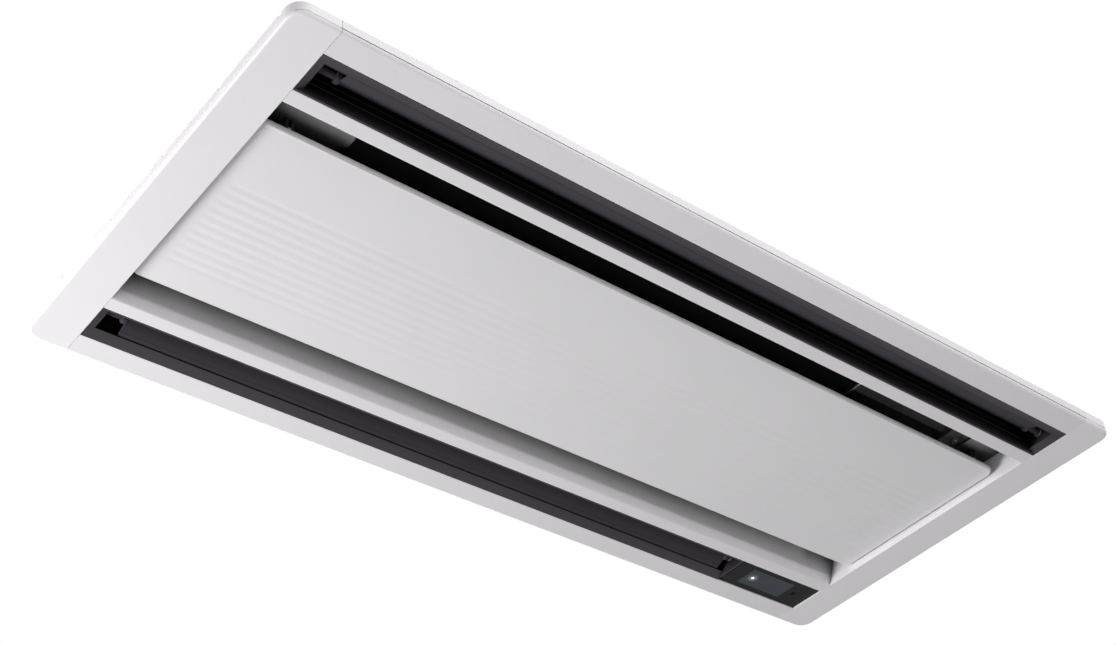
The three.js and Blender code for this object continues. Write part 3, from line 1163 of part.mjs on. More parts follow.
// The riser hose from the pump and the spigot that the building's drain pipe slips over.
function drainSpigot() {
  const out = -HALF_BODY_L;
  const ring = (radius, from, to) => cylinder('x', radius, from, to, PUMP_Y, SPIGOT_Z, 20);
  const hoseLow = PUMP_FOOT_Z + PUMP_H + PUMP_OUTLET_H + FIT;
  const hose = tube([[PUMP_X, PUMP_Y, hoseLow], [PUMP_X, PUMP_Y, SPIGOT_Z], [out - 4, PUMP_Y, SPIGOT_Z]],
    HOSE_R, HOSE_R * 2.2, 10, 9);
  const flange = ring(SPIGOT_R + 8, out - FIT - 3, out - FIT);
  const pipe = ring(SPIGOT_R, out - SPIGOT_L, out - FIT - 1);
  return join([hose, flange, pipe]).subtract(ring(SPIGOT_R - SPIGOT_WALL, out - SPIGOT_L - 1, out - 8));
}

// ---------------------------------------------------------------- control box
function controlBox() {
  const halfW = BOX_W / 2;
  const z0 = PAN_Z;
  const z1 = z0 + BOX_H;
  const shell = box(BOX_LEFT, BOX_RIGHT, -halfW, halfW, z0, z1)
    .subtract(box(BOX_LEFT + SHEET, BOX_RIGHT - SHEET, -halfW + SHEET, halfW - SHEET, z0 - 1, z1 - SHEET));
  const pads = [];
  for (const x of [BOX_LEFT + 18, BOX_RIGHT - 18]) {
    for (const y of [-halfW + 26, halfW - 26]) {
      pads.push(cylinder('z', 3.2, CONTROL_BOARD_Z + BOARD_T + FIT, z1 - SHEET + 0.5, x, y, 10));
    }
  }
  return join([shell, ...pads]);
}

function controlBoxCover() {
  const halfW = BOX_W / 2 + 3;
  const z1 = PAN_Z - FIT;
  const plate = box(BOX_LEFT - 3, BOX_RIGHT - 0.5, -halfW, halfW, z1 - BOX_COVER_T, z1);
  const ribs = [];
  for (const y of [-90, -30, 30, 90]) {
    ribs.push(prism('x', [[y - 6, z1 - BOX_COVER_T + 0.1], [y - 3, z1 - BOX_COVER_T - 1.4],
      [y + 3, z1 - BOX_COVER_T - 1.4], [y + 6, z1 - BOX_COVER_T + 0.1]], BOX_LEFT + 14, BOX_RIGHT - 18));
  }
  return join([plate, ...ribs]);
}

function controlBoard() {
  const z0 = CONTROL_BOARD_Z;
  const x0 = BOX_LEFT + BOARD_MARGIN;
  const x1 = BOX_RIGHT - BOARD_MARGIN;
  const pieces = [box(x0, x1, BOARD_Y0, BOARD_Y1, z0, z0 + BOARD_T)];
  for (const [a, b, c, d, h] of BOARD_PARTS) pieces.push(box(x0 + a, x0 + b, c, d, z0 - h, z0 + 0.5));
  for (const y of CAPACITOR_YS) {
    pieces.push(cylinder('z', CAPACITOR_R, z0 - CAPACITOR_H, z0 + 0.5, x1 - 2.6 * CAPACITOR_R, y, 14));
  }
  return join(pieces);
}

function terminalBlock() {
  const z1 = PAN_Z + BOX_H - SHEET - FIT;
  const x0 = BOX_LEFT + TERMINAL_INSET;
  const x1 = x0 + TERMINALS * TERMINAL_PITCH;
  const y1 = TERMINAL_Y + TERMINAL_W;
  const pieces = [box(x0, x1, TERMINAL_Y, y1, z1 - 14, z1)];
  for (let i = 0; i <= TERMINALS; i += 1) {
    const x = x0 + i * TERMINAL_PITCH;
    pieces.push(box(Math.max(x0, x - 1.2), Math.min(x1, x + 1.2), TERMINAL_Y, y1, z1 - 24, z1 - 13));
    if (i === TERMINALS) continue;
    pieces.push(cylinder('z', 3.4, z1 - 18, z1 - 13, x + TERMINAL_PITCH / 2, (TERMINAL_Y + y1) / 2, 8));
  }
  return join(pieces);
}

function cableGland() {
  const x = HALF_BODY_L + FIT;
  const rod = (radius, from, to, sides) => cylinder('x', radius, from, to, GLAND_Y, GLAND_Z, sides);
  const pieces = [rod(GLAND_R + 3, x, x + 5, 6), rod(GLAND_R, x + 4, x + 18, 16),
    rod(GLAND_R - 2 - FIT, x - 14, x + 1, 16)];
  return join(pieces).subtract(rod(GLAND_R / 2 - 0.5, x - 15, x + 20, 14));
}

// ---------------------------------------------------------------- the assembly
const SIDES = [[-1, 'front'], [1, 'rear']];
const ENDS = [[-1, 'left'], [1, 'right']];

add('panel_base_frame', baseFrame(), WHITE);
add('panel_seal', panelSeal(), FOAM_GREY);
for (const [end, word] of ENDS) add(`end_cap_${word}`, endCap(end), WHITE);
for (const [side, word] of SIDES) {
  add(`outer_rail_${word}`, outerRail(side), WHITE);
  add(`inner_rail_${word}`, innerRail(side), WHITE);
  add(`outlet_frame_${word}`, outletFrame(side), BLACK);
  add(`vane_rack_${word}`, vaneRack(side), BLACK);
  add(`flap_${word}`, flap(side), FLAP_GREY);
  add(`flap_motor_${word}`, flapMotor(side), GALVANISED);
  add(`flap_bush_${word}`, flapBush(side), FLAP_GREY);
}

add('receiver_cover', receiverCover(), BLACK);
add('receiver_window', receiverWindow(), WINDOW_TINT);
add('status_led', statusLed(), LED_WHITE);
add('receiver_button', receiverButton(), BLACK);
add('receiver_board', receiverBoard(), BOARD_GREEN);

add('intake_grille', intakeGrille(), PLATE_WHITE);
add('air_filter', airFilter(), FILTER_GREY);
add('ledge_screw', screw(LEDGE_SCREW, LEDGE_Z - FIT), STEEL);
add('box_bracket', boxBracket(), ZINC);
add('bracket_screw', screw(BRACKET_SCREW, LEDGE_TOP), STEEL);

add('casing_top', casingTop(), GALVANISED);
for (const [side, word] of SIDES) add(`casing_side_${word}`, casingSide(side), GALVANISED);
for (const [end, word] of ENDS) add(`casing_end_${word}`, casingEnd(end), GALVANISED);
for (const [side, sideWord] of SIDES) {
  for (const [end, endWord] of ENDS) {
    add(`hanger_bracket_${sideWord}_${endWord}`, hangerBracket(side, end), GALVANISED);
  }
  add(`duct_liner_${sideWord}`, ductLiner(side), FOAM_GREY);
}

add('drain_pan', drainPan(), FOAM_WHITE);
FAN_XS.forEach((x, i) => {
  const word = ENDS[i][1];
  add(`bellmouth_${word}`, bellmouth(x), BLACK);
  add(`fan_${word}`, fanWheel(x), FAN_PLASTIC);
  add(`fan_motor_${word}`, fanMotor(x), MOTOR_GREY);
});

for (const [side, word] of SIDES) add(`coil_${word}`, coil(side), ALUMINIUM);
for (const [word, line] of [['gas', GAS], ['liquid', LIQUID]]) {
  add(`${word}_pipe`, refrigerantPipe(line), COPPER);
  add(`${word}_flare_nut`, flareNut(line), BRASS);
}
add('drain_pump', drainPump(), PUMP_GREY);
add('pump_float', pumpFloat(), FOAM_WHITE);
add('drain_spigot', drainSpigot(), PUMP_GREY);

add('control_box', controlBox(), GALVANISED);
add('control_box_cover', controlBoxCover(), GALVANISED);
add('control_board', controlBoard(), BOARD_GREEN);
add('terminal_block', terminalBlock(), PUMP_GREY);
add('cable_gland', cableGland(), BLACK);

export default assembly;
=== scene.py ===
"""Looks for the two-way ceiling cassette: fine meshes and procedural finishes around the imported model.

Lengths in the tables and in the mesh code are millimetres; every Blender object is in metres.
"v" is the distance from the long middle line; side -1 is the front (y = -v), side 1 the rear.
"""

import math

import bmesh
import bpy
from bpy.props import FloatProperty, FloatVectorProperty, IntProperty, PointerProperty
from mathutils import Matrix, Vector


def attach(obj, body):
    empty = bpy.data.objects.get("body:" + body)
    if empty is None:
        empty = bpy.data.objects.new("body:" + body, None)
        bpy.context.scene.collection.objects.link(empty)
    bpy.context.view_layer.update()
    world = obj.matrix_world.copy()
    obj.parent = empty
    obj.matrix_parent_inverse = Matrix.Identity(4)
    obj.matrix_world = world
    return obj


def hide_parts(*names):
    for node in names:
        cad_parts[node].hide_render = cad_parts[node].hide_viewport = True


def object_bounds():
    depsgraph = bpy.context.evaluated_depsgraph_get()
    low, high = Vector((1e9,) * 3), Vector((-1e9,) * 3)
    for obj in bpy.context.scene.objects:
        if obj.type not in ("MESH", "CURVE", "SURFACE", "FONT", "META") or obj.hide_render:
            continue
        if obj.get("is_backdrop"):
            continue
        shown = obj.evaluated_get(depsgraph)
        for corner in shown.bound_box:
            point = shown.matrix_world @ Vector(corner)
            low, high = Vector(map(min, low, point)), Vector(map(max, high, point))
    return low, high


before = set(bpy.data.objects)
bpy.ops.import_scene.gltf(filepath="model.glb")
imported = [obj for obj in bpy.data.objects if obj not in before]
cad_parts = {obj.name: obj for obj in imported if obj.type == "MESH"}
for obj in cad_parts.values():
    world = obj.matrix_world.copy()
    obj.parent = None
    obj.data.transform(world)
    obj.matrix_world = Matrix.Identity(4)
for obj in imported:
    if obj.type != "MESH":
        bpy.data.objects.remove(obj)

bl_info = {
    "name": "Ceiling Cassette",
    "version": (1, 0, 0),
    "blender": (4, 5, 0),
    "location": "3D View > Sidebar > Cassette",
    "description": "Builds the finished look of a two-way ceiling cassette air conditioner",
    "category": "Object",
}

CAD_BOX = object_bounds()
MM = 0.001
FIXED = "cassette"
SIDES = ((-1, "front"), (1, "rear"))
ENDS = ((-1, "left"), (1, "right"))

# Sizes shared with the part, in millimetres.
HALF_L, HALF_W, TRIM_H = 730.0, 340.0, 20.0
WALL = 2.5
SEAM = 667.0
JOINT_GAP = 0.15
SLOT_OUT, SLOT_IN, TROUGH_V, TROUGH_TOP_V, TROUGH_TOP = 300.0, 234.0, 211.0, 192.0, 41.0
LIP_H = 12.0
CASING_TOP, CASING_V, CASING_END = 320.0, 300.0, 590.0

# Height and depth of the shadow line round the panel's edge.
REVEAL = ((6.6, 0.0), (6.4, 1.4), (5.2, 1.4), (5.0, 0.0))
FLAP_V, FLAP_Z = 261.5, 23.5
OUTLET_END = 654.7
BULKHEAD = 487.2


# ---------------------------------------------------------------- settings
class CassetteShape(bpy.types.PropertyGroup):
    """Sizes that shape the visible pieces."""

    edge_radius: FloatProperty(
        name="Panel edge radius", description="Rounding of the panel's outer edge",
        default=0.0045, min=0.001, max=0.008, unit="LENGTH")
    corner_radius: FloatProperty(
        name="Panel corner radius", description="Rounding of the panel's four corners",
        default=0.022, min=0.01, max=0.05, unit="LENGTH")
    groove_depth: FloatProperty(
        name="Groove depth", description="Depth of the inlet plate's grooves near its ends",
        default=0.0007, min=0.0, max=0.003, unit="LENGTH")
    groove_pitch: FloatProperty(
        name="Groove pitch", description="Distance from one groove to the next",
        default=0.016, min=0.008, max=0.03, unit="LENGTH")
    groove_count: IntProperty(
        name="Grooves", description="How many grooves run along the inlet plate", default=11, min=1, max=15)
    flap_sag: FloatProperty(
        name="Flap crown", description="How far the flap's blade bulges from its chord",
        default=0.005, min=0.001, max=0.008, unit="LENGTH")


def colour(label, note, value):
    return FloatVectorProperty(
        name=label, description=note, subtype="COLOR", size=3, min=0, max=1, default=value)


class CassetteColours(bpy.types.PropertyGroup):
    """Colours of the finishes."""

    trim: colour("Trim", "White trim round the panel", (0.82, 0.80, 0.82))
    plate: colour("Inlet plate", "White grooved plate", (0.79, 0.775, 0.79))
    outlet: colour("Outlet frame", "Dark moulded outlet frames", (0.055, 0.049, 0.058))
    flap: colour("Flap", "Swinging air flaps", (0.058, 0.053, 0.063))
    inner: colour("Inner plastic", "Black pieces inside the inlet", (0.006, 0.006, 0.0065))
    window: colour("Window", "Tinted receiver window", (0.026, 0.033, 0.048))
    galvanised: colour("Galvanised sheet", "Casing, brackets and boxes", (0.56, 0.575, 0.585))
    foam: colour("Sealing foam", "Grey closed-cell foam", (0.055, 0.057, 0.06))
    copper: colour("Copper", "Refrigerant tubes", (0.72, 0.33, 0.19))
    brass: colour("Brass", "Flare nuts", (0.70, 0.52, 0.24))


def shape():
    return bpy.context.scene.cassette_shape


def colours():
    return bpy.context.scene.cassette_colours


# ---------------------------------------------------------------- mesh building
def rounded(points, steps=6):
    """A closed outline from (a, b) or (a, b, radius) points, with arcs at the rounded corners."""
    path = []
    count = len(points)
    for i, point in enumerate(points):
        here = Vector(point[:2])
        radius = point[2] if len(point) > 2 else 0
        if not radius:
            path.append(tuple(here))
            continue
        before = (Vector(points[i - 1][:2]) - here).normalized()
        after = (Vector(points[(i + 1) % count][:2]) - here).normalized()
        half = before.angle(after) / 2
        centre = here + (before + after).normalized() * (radius / math.sin(half))
        start = here + before * (radius / math.tan(half)) - centre
        end = here + after * (radius / math.tan(half)) - centre
        turn = math.atan2(start.x * end.y - start.y * end.x, start.dot(end))
        for step in range(steps + 1):
            angle = turn * step / steps
            spun = Vector((start.x * math.cos(angle) - start.y * math.sin(angle),
                           start.x * math.sin(angle) + start.y * math.cos(angle)))
            path.append(tuple(spun + centre))
    return path


def ease(low, high, value):
    """A smooth step from 0 at low to 1 at high."""
    t = min(1.0, max(0.0, (value - low) / (high - low)))
    return t * t * (3 - 2 * t)


class Shell:
    """Collects the points and faces of one piece, in millimetres."""

    def __init__(self):
        self.points = []
        self.faces = []

    def add(self, points, faces):
        base = len(self.points)
        self.points += [tuple(p) for p in points]
        self.faces += [tuple(base + i for i in face) for face in faces]

    def loft(self, rings, caps=True):
        """Skins equal closed rings in order and caps both ends."""
        size = len(rings[0])
        faces = []
        for r in range(len(rings) - 1):
            for i in range(size):
                j = (i + 1) % size
                faces.append((r * size + i, r * size + j, (r + 1) * size + j, (r + 1) * size + i))
        if caps:
            faces.append(tuple(range(size)))
            faces.append(tuple((len(rings) - 1) * size + i for i in range(size)))
        self.add([p for ring in rings for p in ring], faces)

    def rail(self, side, section, x0, x1):
        """Runs a (v, z) section along X."""
        self.loft([[(x, side * v, z) for v, z in section] for x in (x0, x1)])

    def block(self, x0, x1, y0, y1, z0, z1):
        ring = lambda z: [(x0, y0, z), (x1, y0, z), (x1, y1, z), (x0, y1, z)]
        self.loft([ring(z0), ring(z1)])

    def turned(self, profile, place, segments=32):
        """Turns (radius, height) points; place(a, b, height) puts a point of the section in the frame."""
        rings = []
        for radius, height in profile:
            rings.append([place(radius * math.cos(2 * math.pi * i / segments),
                                radius * math.sin(2 * math.pi * i / segments), height)
                          for i in range(segments)])
        self.loft(rings)

    def piece(self, name, body, material, slot, node=None, edge=0.0, edge_angle=34.0):
        """Makes the object, rides it on its body and hides the node it stands for."""
        mesh = bpy.data.meshes.new(name)
        mesh.from_pydata([tuple(c * MM for c in p) for p in self.points], [], self.faces)
        work = bmesh.new()
        work.from_mesh(mesh)
        bmesh.ops.remove_doubles(work, verts=work.verts, dist=1e-7)
        bmesh.ops.dissolve_degenerate(work, edges=work.edges, dist=1e-7)
        bmesh.ops.recalc_face_normals(work, faces=work.faces)
        work.to_mesh(mesh)
        work.free()
        mesh.materials.append(material)
        mesh.shade_smooth()
        made = bpy.data.objects.new(name, mesh)
        bpy.context.scene.collection.objects.link(made)
        soften(made, edge, edge_angle)
        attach(made, body)
        if node:
            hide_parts(node)
        return made


def soften(piece, edge, edge_angle=34.0):
    """Rounds the sharp edges and keeps the flats flat."""
    if edge:
        bevel = piece.modifiers.new("Edge", "BEVEL")
        bevel.width = edge * MM
        bevel.segments = 2
        bevel.limit_method = "ANGLE"
        bevel.angle_limit = math.radians(edge_angle)
    normals = piece.modifiers.new("Flats", "WEIGHTED_NORMAL")
    normals.weight = 80


def dress(node, material, edge=0.35):
    """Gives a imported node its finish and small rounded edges."""
    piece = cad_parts[node]
    piece.data.materials.clear()
    piece.data.materials.append(material)
    for face in piece.data.polygons:
        face.use_smooth = True
    weld = piece.modifiers.new("Weld", "WELD")
    weld.merge_threshold = 1e-5
    flats = piece.modifiers.new("Whole faces", "DECIMATE")
    flats.decimate_type = "DISSOLVE"
    flats.angle_limit = math.radians(0.5)
    soften(piece, edge)


# ---------------------------------------------------------------- shader groups
def new_group(name, inputs, outputs):
    group = bpy.data.node_groups.new(name, "ShaderNodeTree")
    for direction, sockets in (("INPUT", inputs), ("OUTPUT", outputs)):
        for label, kind, *value in sockets:
            socket = group.interface.new_socket(name=label, in_out=direction, socket_type="NodeSocket" + kind)
            if value:
                socket.default_value = value[0]
    start = group.nodes.new("NodeGroupInput")
    end = group.nodes.new("NodeGroupOutput")
    return group, start.outputs, end.inputs


class Sketch:
    """Short ways to place and link nodes in one tree."""

    def __init__(self, tree):
        self.tree = tree

    def feed(self, socket, value):
        if isinstance(value, bpy.types.NodeSocket):
            self.tree.links.new(value, socket)
        else:
            socket.default_value = value

    def node(self, kind, **settings):
        made = self.tree.nodes.new("ShaderNode" + kind)
        for key, value in settings.items():
            setattr(made, key, value)
        return made

    def math(self, operation, a, b=0.0, c=0.0, clamp=False):
        made = self.node("Math", operation=operation, use_clamp=clamp)
        for socket, value in zip(made.inputs, (a, b, c)):
            self.feed(socket, value)
        return made.outputs[0]

    def remap(self, value, low, high, to_low, to_high):
        made = self.node("MapRange")
        for label, number in zip(("Value", "From Min", "From Max", "To Min", "To Max"),
                                 (value, low, high, to_low, to_high)):
            self.feed(made.inputs[label], number)
        return made.outputs["Result"]

    def noise(self, vector, scale, detail=3.0, roughness=0.55):
        made = self.node("TexNoise")
        self.feed(made.inputs["Vector"], vector)
        self.feed(made.inputs["Scale"], scale)
        made.inputs["Detail"].default_value = detail
        made.inputs["Roughness"].default_value = roughness
        return made.outputs["Fac"]

    def cells(self, vector, scale, feature="F1", output="Distance"):
        made = self.node("TexVoronoi", feature=feature)
        self.feed(made.inputs["Vector"], vector)
        self.feed(made.inputs["Scale"], scale)
        return made.outputs[output]

    def mix(self, factor, a, b):
        made = self.node("Mix", data_type="RGBA")
        self.feed(made.inputs[0], factor)
        self.feed(made.inputs[6], a)
        self.feed(made.inputs[7], b)
        return made.outputs[2]

    def scale_colour(self, value, factor):
        made = self.node("VectorMath", operation="SCALE")
        self.feed(made.inputs[0], value if isinstance(value, bpy.types.NodeSocket) else value[:3])
        self.feed(made.inputs["Scale"], factor)
        return made.outputs[0]


def moulded_group():
    """Fine spark-eroded grain with a faint drift of tone, as moulded plastic has."""
    group, given, out = new_group(
        "Moulded plastic",
        [("Vector", "Vector"), ("Colour", "Color"), ("Grain", "Float", 900.0), ("Drift", "Float", 0.03),
         ("Roughness", "Float", 0.45)],
        [("Colour", "Color"), ("Roughness", "Float"), ("Height", "Float")])
    s = Sketch(group)
    grain = s.noise(given["Vector"], given["Grain"], 2.0)
    pits = s.cells(given["Vector"], s.math("MULTIPLY", given["Grain"], 0.6))
    height = s.math("ADD", grain, s.math("MULTIPLY", pits, 0.5))
    drift = s.remap(s.noise(given["Vector"], 5.0, 4.0), 0.3, 0.7, -1.0, 1.0)
    tone = s.math("MULTIPLY_ADD", drift, given["Drift"], 1.0)
    speck = s.remap(grain, 0.35, 0.65, 0.985, 1.015)
    s.feed(out["Colour"], s.scale_colour(given["Colour"], s.math("MULTIPLY", tone, speck)))
    handled = s.remap(s.noise(given["Vector"], 14.0, 5.0), 0.3, 0.7, -0.05, 0.05)
    s.feed(out["Roughness"], s.math("ADD", given["Roughness"], handled, clamp=True))
    s.feed(out["Height"], height)
    return group


def spangle_group():
    """Zinc crystals of galvanised sheet, with rolling marks and dull patches."""
    group, given, out = new_group(
        "Galvanised spangle",
        [("Vector", "Vector"), ("Colour", "Color"), ("Crystal", "Float", 90.0), ("Contrast", "Float", 0.1),
         ("Roughness", "Float", 0.4)],
        [("Colour", "Color"), ("Roughness", "Float"), ("Height", "Float")])
    s = Sketch(group)
    wobble = s.noise(given["Vector"], 60.0, 2.0)
    shifted = s.node("VectorMath", operation="MULTIPLY_ADD")
    s.feed(shifted.inputs[0], wobble)
    shifted.inputs[1].default_value = (0.006, 0.006, 0.006)
    s.feed(shifted.inputs[2], given["Vector"])
    crystal = s.node("SeparateColor")
    s.feed(crystal.inputs[0], s.cells(shifted.outputs[0], given["Crystal"], output="Color"))
    shade = s.math("SUBTRACT", crystal.outputs[0], 0.5)
    tone = s.math("MULTIPLY_ADD", shade, given["Contrast"], 1.0)
    dull = s.remap(s.noise(given["Vector"], 4.0, 5.0), 0.35, 0.7, 1.04, 0.88)
    s.feed(out["Colour"], s.scale_colour(given["Colour"], s.math("MULTIPLY", tone, dull)))
    rough = s.math("MULTIPLY_ADD", crystal.outputs[1], 0.14, given["Roughness"])
    smear = s.remap(s.noise(given["Vector"], 9.0, 4.0), 0.3, 0.7, -0.06, 0.08)
    s.feed(out["Roughness"], s.math("ADD", rough, smear, clamp=True))
    s.feed(out["Height"], s.noise(given["Vector"], 700.0, 2.0))
    return group


def dust_group():
    """Thin dust that settles on faces turned up."""
    group, given, out = new_group(
        "Settled dust",
        [("Vector", "Vector"), ("Normal", "Vector"), ("Colour", "Color"), ("Amount", "Float", 0.3)],
        [("Colour", "Color"), ("Mask", "Float")])
    s = Sketch(group)
    split = s.node("SeparateXYZ")
    s.feed(split.inputs[0], given["Normal"])
    upward = s.remap(split.outputs[2], 0.3, 1.0, 0.0, 1.0)
    patch = s.remap(s.noise(given["Vector"], 11.0, 6.0), 0.35, 0.7, 0.25, 1.0)
    mask = s.math("MULTIPLY", s.math("MULTIPLY", upward, patch), given["Amount"], clamp=True)
    s.feed(out["Colour"], s.mix(mask, given["Colour"], (0.42, 0.40, 0.37, 1.0)))
    s.feed(out["Mask"], mask)
    return group


# ---------------------------------------------------------------- finishes
_finishes = {}
_groups = {}


def group_of(name):
    """Builds a shared shader group once."""
    makers = {"moulded": moulded_group, "spangle": spangle_group, "dust": dust_group}
    if name not in _groups:
        _groups[name] = makers[name]()
    return _groups[name]


def built_once(make):
    """Keeps each finish under its name, so that pieces share it."""
    def finish(name, *values, **settings):
        if name not in _finishes:
            _finishes[name] = make(name, *values, **settings)
        return _finishes[name]
    return finish


def start_finish(name):
    material = bpy.data.materials.new(name)
    material.use_nodes = True
    tree = material.node_tree
    tree.nodes.clear()
    s = Sketch(tree)
    shader = s.node("BsdfPrincipled")
    out = s.node("OutputMaterial")
    tree.links.new(shader.outputs[0], out.inputs[0])
    place = s.node("TexCoord").outputs["Object"]
    return material, s, shader, place


def bump(s, shader, height, distance):
    made = s.node("Bump")
    made.inputs["Distance"].default_value = distance
    s.feed(made.inputs["Height"], height)
    s.feed(shader.inputs["Normal"], made.outputs[0])


def use_group(s, name, place, **values):
    made = s.node("Group", node_tree=group_of(name))
    s.feed(made.inputs["Vector"], place)
    for key, value in values.items():
        s.feed(made.inputs[key], value)
    return made.outputs


def rgba(value):
    return (*value, 1.0)


@built_once
def plastic(name, value, roughness=0.42, grain=900.0, depth=4e-5, drift=0.03, specular=0.5, dust=0.0,
            painted_shade_reach=0.0):
    """Moulded plastic. A painted shade reach darkens the colour, as painted shade, where other surfaces close
    in within that distance.
    """
    material, s, shader, place = start_finish(name)
    made = use_group(s, "moulded", place, Colour=rgba(value), Grain=grain, Drift=drift, Roughness=roughness)
    tint = made["Colour"]
    if dust:
        normal = s.node("NewGeometry").outputs["Normal"]
        tint = use_group(s, "dust", place, Normal=normal, Colour=tint, Amount=dust)["Colour"]
    # Painted shade: ambient occlusion darkens the base colour where other surfaces close in.
    if painted_shade_reach:
        painted_shade = s.node("AmbientOcclusion", samples=16)
        painted_shade.inputs["Distance"].default_value = painted_shade_reach
        tint = s.scale_colour(tint, s.remap(painted_shade.outputs["AO"], 0.3, 0.72, 0.03, 1.0))
    s.feed(shader.inputs["Base Color"], tint)
    s.feed(shader.inputs["Roughness"], made["Roughness"])
    shader.inputs["Specular IOR Level"].default_value = specular
    bump(s, shader, made["Height"], depth)
    return material


@built_once
def metal(name, value, roughness=0.36, crystal=90.0, contrast=0.12, dust=0.0):
    """Sheet or turned metal with a crystal pattern. Dust dulls the faces turned up."""
    material, s, shader, place = start_finish(name)
    made = use_group(s, "spangle", place, Colour=rgba(value), Crystal=crystal, Contrast=contrast,
                     Roughness=roughness)
    tint = made["Colour"]
    if dust:
        normal = s.node("NewGeometry").outputs["Normal"]
        settled = use_group(s, "dust", place, Normal=normal, Colour=tint, Amount=dust)
        tint = settled["Colour"]
        s.feed(shader.inputs["Metallic"], s.math("SUBTRACT", 1.0, settled["Mask"], clamp=True))
    else:
        shader.inputs["Metallic"].default_value = 1.0
    s.feed(shader.inputs["Base Color"], tint)
    s.feed(shader.inputs["Roughness"], made["Roughness"])
    bump(s, shader, made["Height"], 1.5e-5)
    return material


@built_once
def foam(name, value, cell=420.0, depth=2.5e-4):
    """Closed-cell foam: small bubbles and a soft dull surface."""
    material, s, shader, place = start_finish(name)
    bubble = s.cells(place, cell)
    patch = s.remap(s.noise(place, 20.0, 4.0), 0.3, 0.7, 0.85, 1.15)
    tone = s.math("MULTIPLY", patch, s.remap(bubble, 0.0, 0.7, 0.8, 1.1))
    s.feed(shader.inputs["Base Color"], s.scale_colour(rgba(value), tone))
    s.feed(shader.inputs["Roughness"], s.remap(bubble, 0.0, 0.7, 0.85, 0.98))
    bump(s, shader, bubble, depth)
    return material


@built_once
def beads(name, value):
    """Moulded bead foam of the drain pan: pressed round cells with dark joints."""
    material, s, shader, place = start_finish(name)
    edge = s.cells(place, 260.0, feature="DISTANCE_TO_EDGE")
    joint = s.remap(edge, 0.0, 0.08, 0.86, 1.0)
    tone = s.math("MULTIPLY", joint, s.remap(s.noise(place, 9.0), 0.3, 0.7, 0.95, 1.03))
    s.feed(shader.inputs["Base Color"], s.scale_colour(rgba(value), tone))
    s.feed(shader.inputs["Roughness"], s.remap(edge, 0.0, 0.1, 0.95, 0.8))
    bump(s, shader, edge, 6e-4)
    return material


@built_once
def finned(name):
    """Stacked aluminium fins across X."""
    material, s, shader, place = start_finish(name)
    split = s.node("SeparateXYZ")
    s.feed(split.inputs[0], place)
    wave = s.math("SINE", s.math("MULTIPLY", split.outputs[0], 2 * math.pi / 0.0018))
    height = s.math("POWER", s.math("MULTIPLY_ADD", wave, 0.5, 0.5), 0.6)
    bent = s.noise(place, 25.0, 5.0)
    # The gaps between the fins are painted darker, as painted shade.
    tone = s.math("MULTIPLY", s.remap(height, 0.0, 1.0, 0.25, 1.0), s.remap(bent, 0.3, 0.7, 0.85, 1.05))
    s.feed(shader.inputs["Base Color"], s.scale_colour((0.72, 0.73, 0.74, 1.0), tone))
    s.feed(shader.inputs["Roughness"], s.remap(bent, 0.3, 0.7, 0.3, 0.5))
    shader.inputs["Metallic"].default_value = 1.0
    bump(s, shader, height, 8e-4)
    return material


@built_once
def board(name):
    """Green solder mask with copper tracks under it."""
    material, s, shader, place = start_finish(name)
    tracks = s.node("TexBrick", offset=0.37, squash=1.6)
    s.feed(tracks.inputs["Vector"], place)
    tracks.inputs["Scale"].default_value = 160.0
    tracks.inputs["Mortar Size"].default_value = 0.09
    tracks.inputs["Color1"].default_value = (0.012, 0.075, 0.028, 1.0)
    tracks.inputs["Color2"].default_value = (0.014, 0.095, 0.034, 1.0)
    tracks.inputs["Mortar"].default_value = (0.03, 0.17, 0.06, 1.0)
    s.feed(shader.inputs["Base Color"], tracks.outputs["Color"])
    s.feed(shader.inputs["Roughness"], s.remap(s.noise(place, 60.0), 0.3, 0.7, 0.24, 0.4))
    bump(s, shader, tracks.outputs["Fac"], 4e-5)
    return material


@built_once
def net(name, value):
    """Fine woven filter net: two crossed rows of threads with dark holes between."""
    material, s, shader, place = start_finish(name)
    split = s.node("SeparateXYZ")
    s.feed(split.inputs[0], place)
    threads = [s.math("ABSOLUTE", s.math("SINE", s.math("MULTIPLY", split.outputs[i], math.pi / 0.0016)))
               for i in (0, 1)]
    height = s.math("MAXIMUM", threads[0], threads[1])
    # The holes between the threads are painted dark, as painted shade for the space behind the net.
    weave = s.remap(height, 0.75, 0.98, 0.12, 1.0)
    tone = s.math("MULTIPLY", weave, s.remap(s.noise(place, 16.0), 0.3, 0.7, 0.8, 1.1))
    s.feed(shader.inputs["Base Color"], s.scale_colour(rgba(value), tone))
    s.feed(shader.inputs["Roughness"], s.remap(height, 0.75, 1.0, 0.9, 0.6))
    shader.inputs["Specular IOR Level"].default_value = 0.15
    bump(s, shader, height, 3e-4)
    return material


@built_once
def tinted_window(name):
    """Tinted window, with a painted glow round the lamp behind it."""
    material, s, shader, place = start_finish(name)
    away = s.node("VectorMath", operation="DISTANCE")
    s.feed(away.inputs[0], place)
    away.inputs[1].default_value = (0.540, 0.267, 0.002)
    painted_glow = s.math("POWER", s.remap(away.outputs["Value"], 0.0, 0.016, 1.0, 0.0), 3.0)
    haze = s.remap(s.noise(place, 45.0, 4.0), 0.3, 0.7, 0.85, 1.15)
    s.feed(shader.inputs["Base Color"], s.scale_colour(rgba(colours().window), haze))
    s.feed(shader.inputs["Roughness"], s.remap(s.noise(place, 30.0, 4.0), 0.3, 0.7, 0.08, 0.2))
    s.feed(shader.inputs["Emission Color"], s.scale_colour((0.75, 0.85, 1.0, 1.0), painted_glow))
    shader.inputs["Emission Strength"].default_value = 0.5
    shader.inputs["Coat Weight"].default_value = 0.3
    bump(s, shader, s.noise(place, 200.0), 5e-6)
    return material


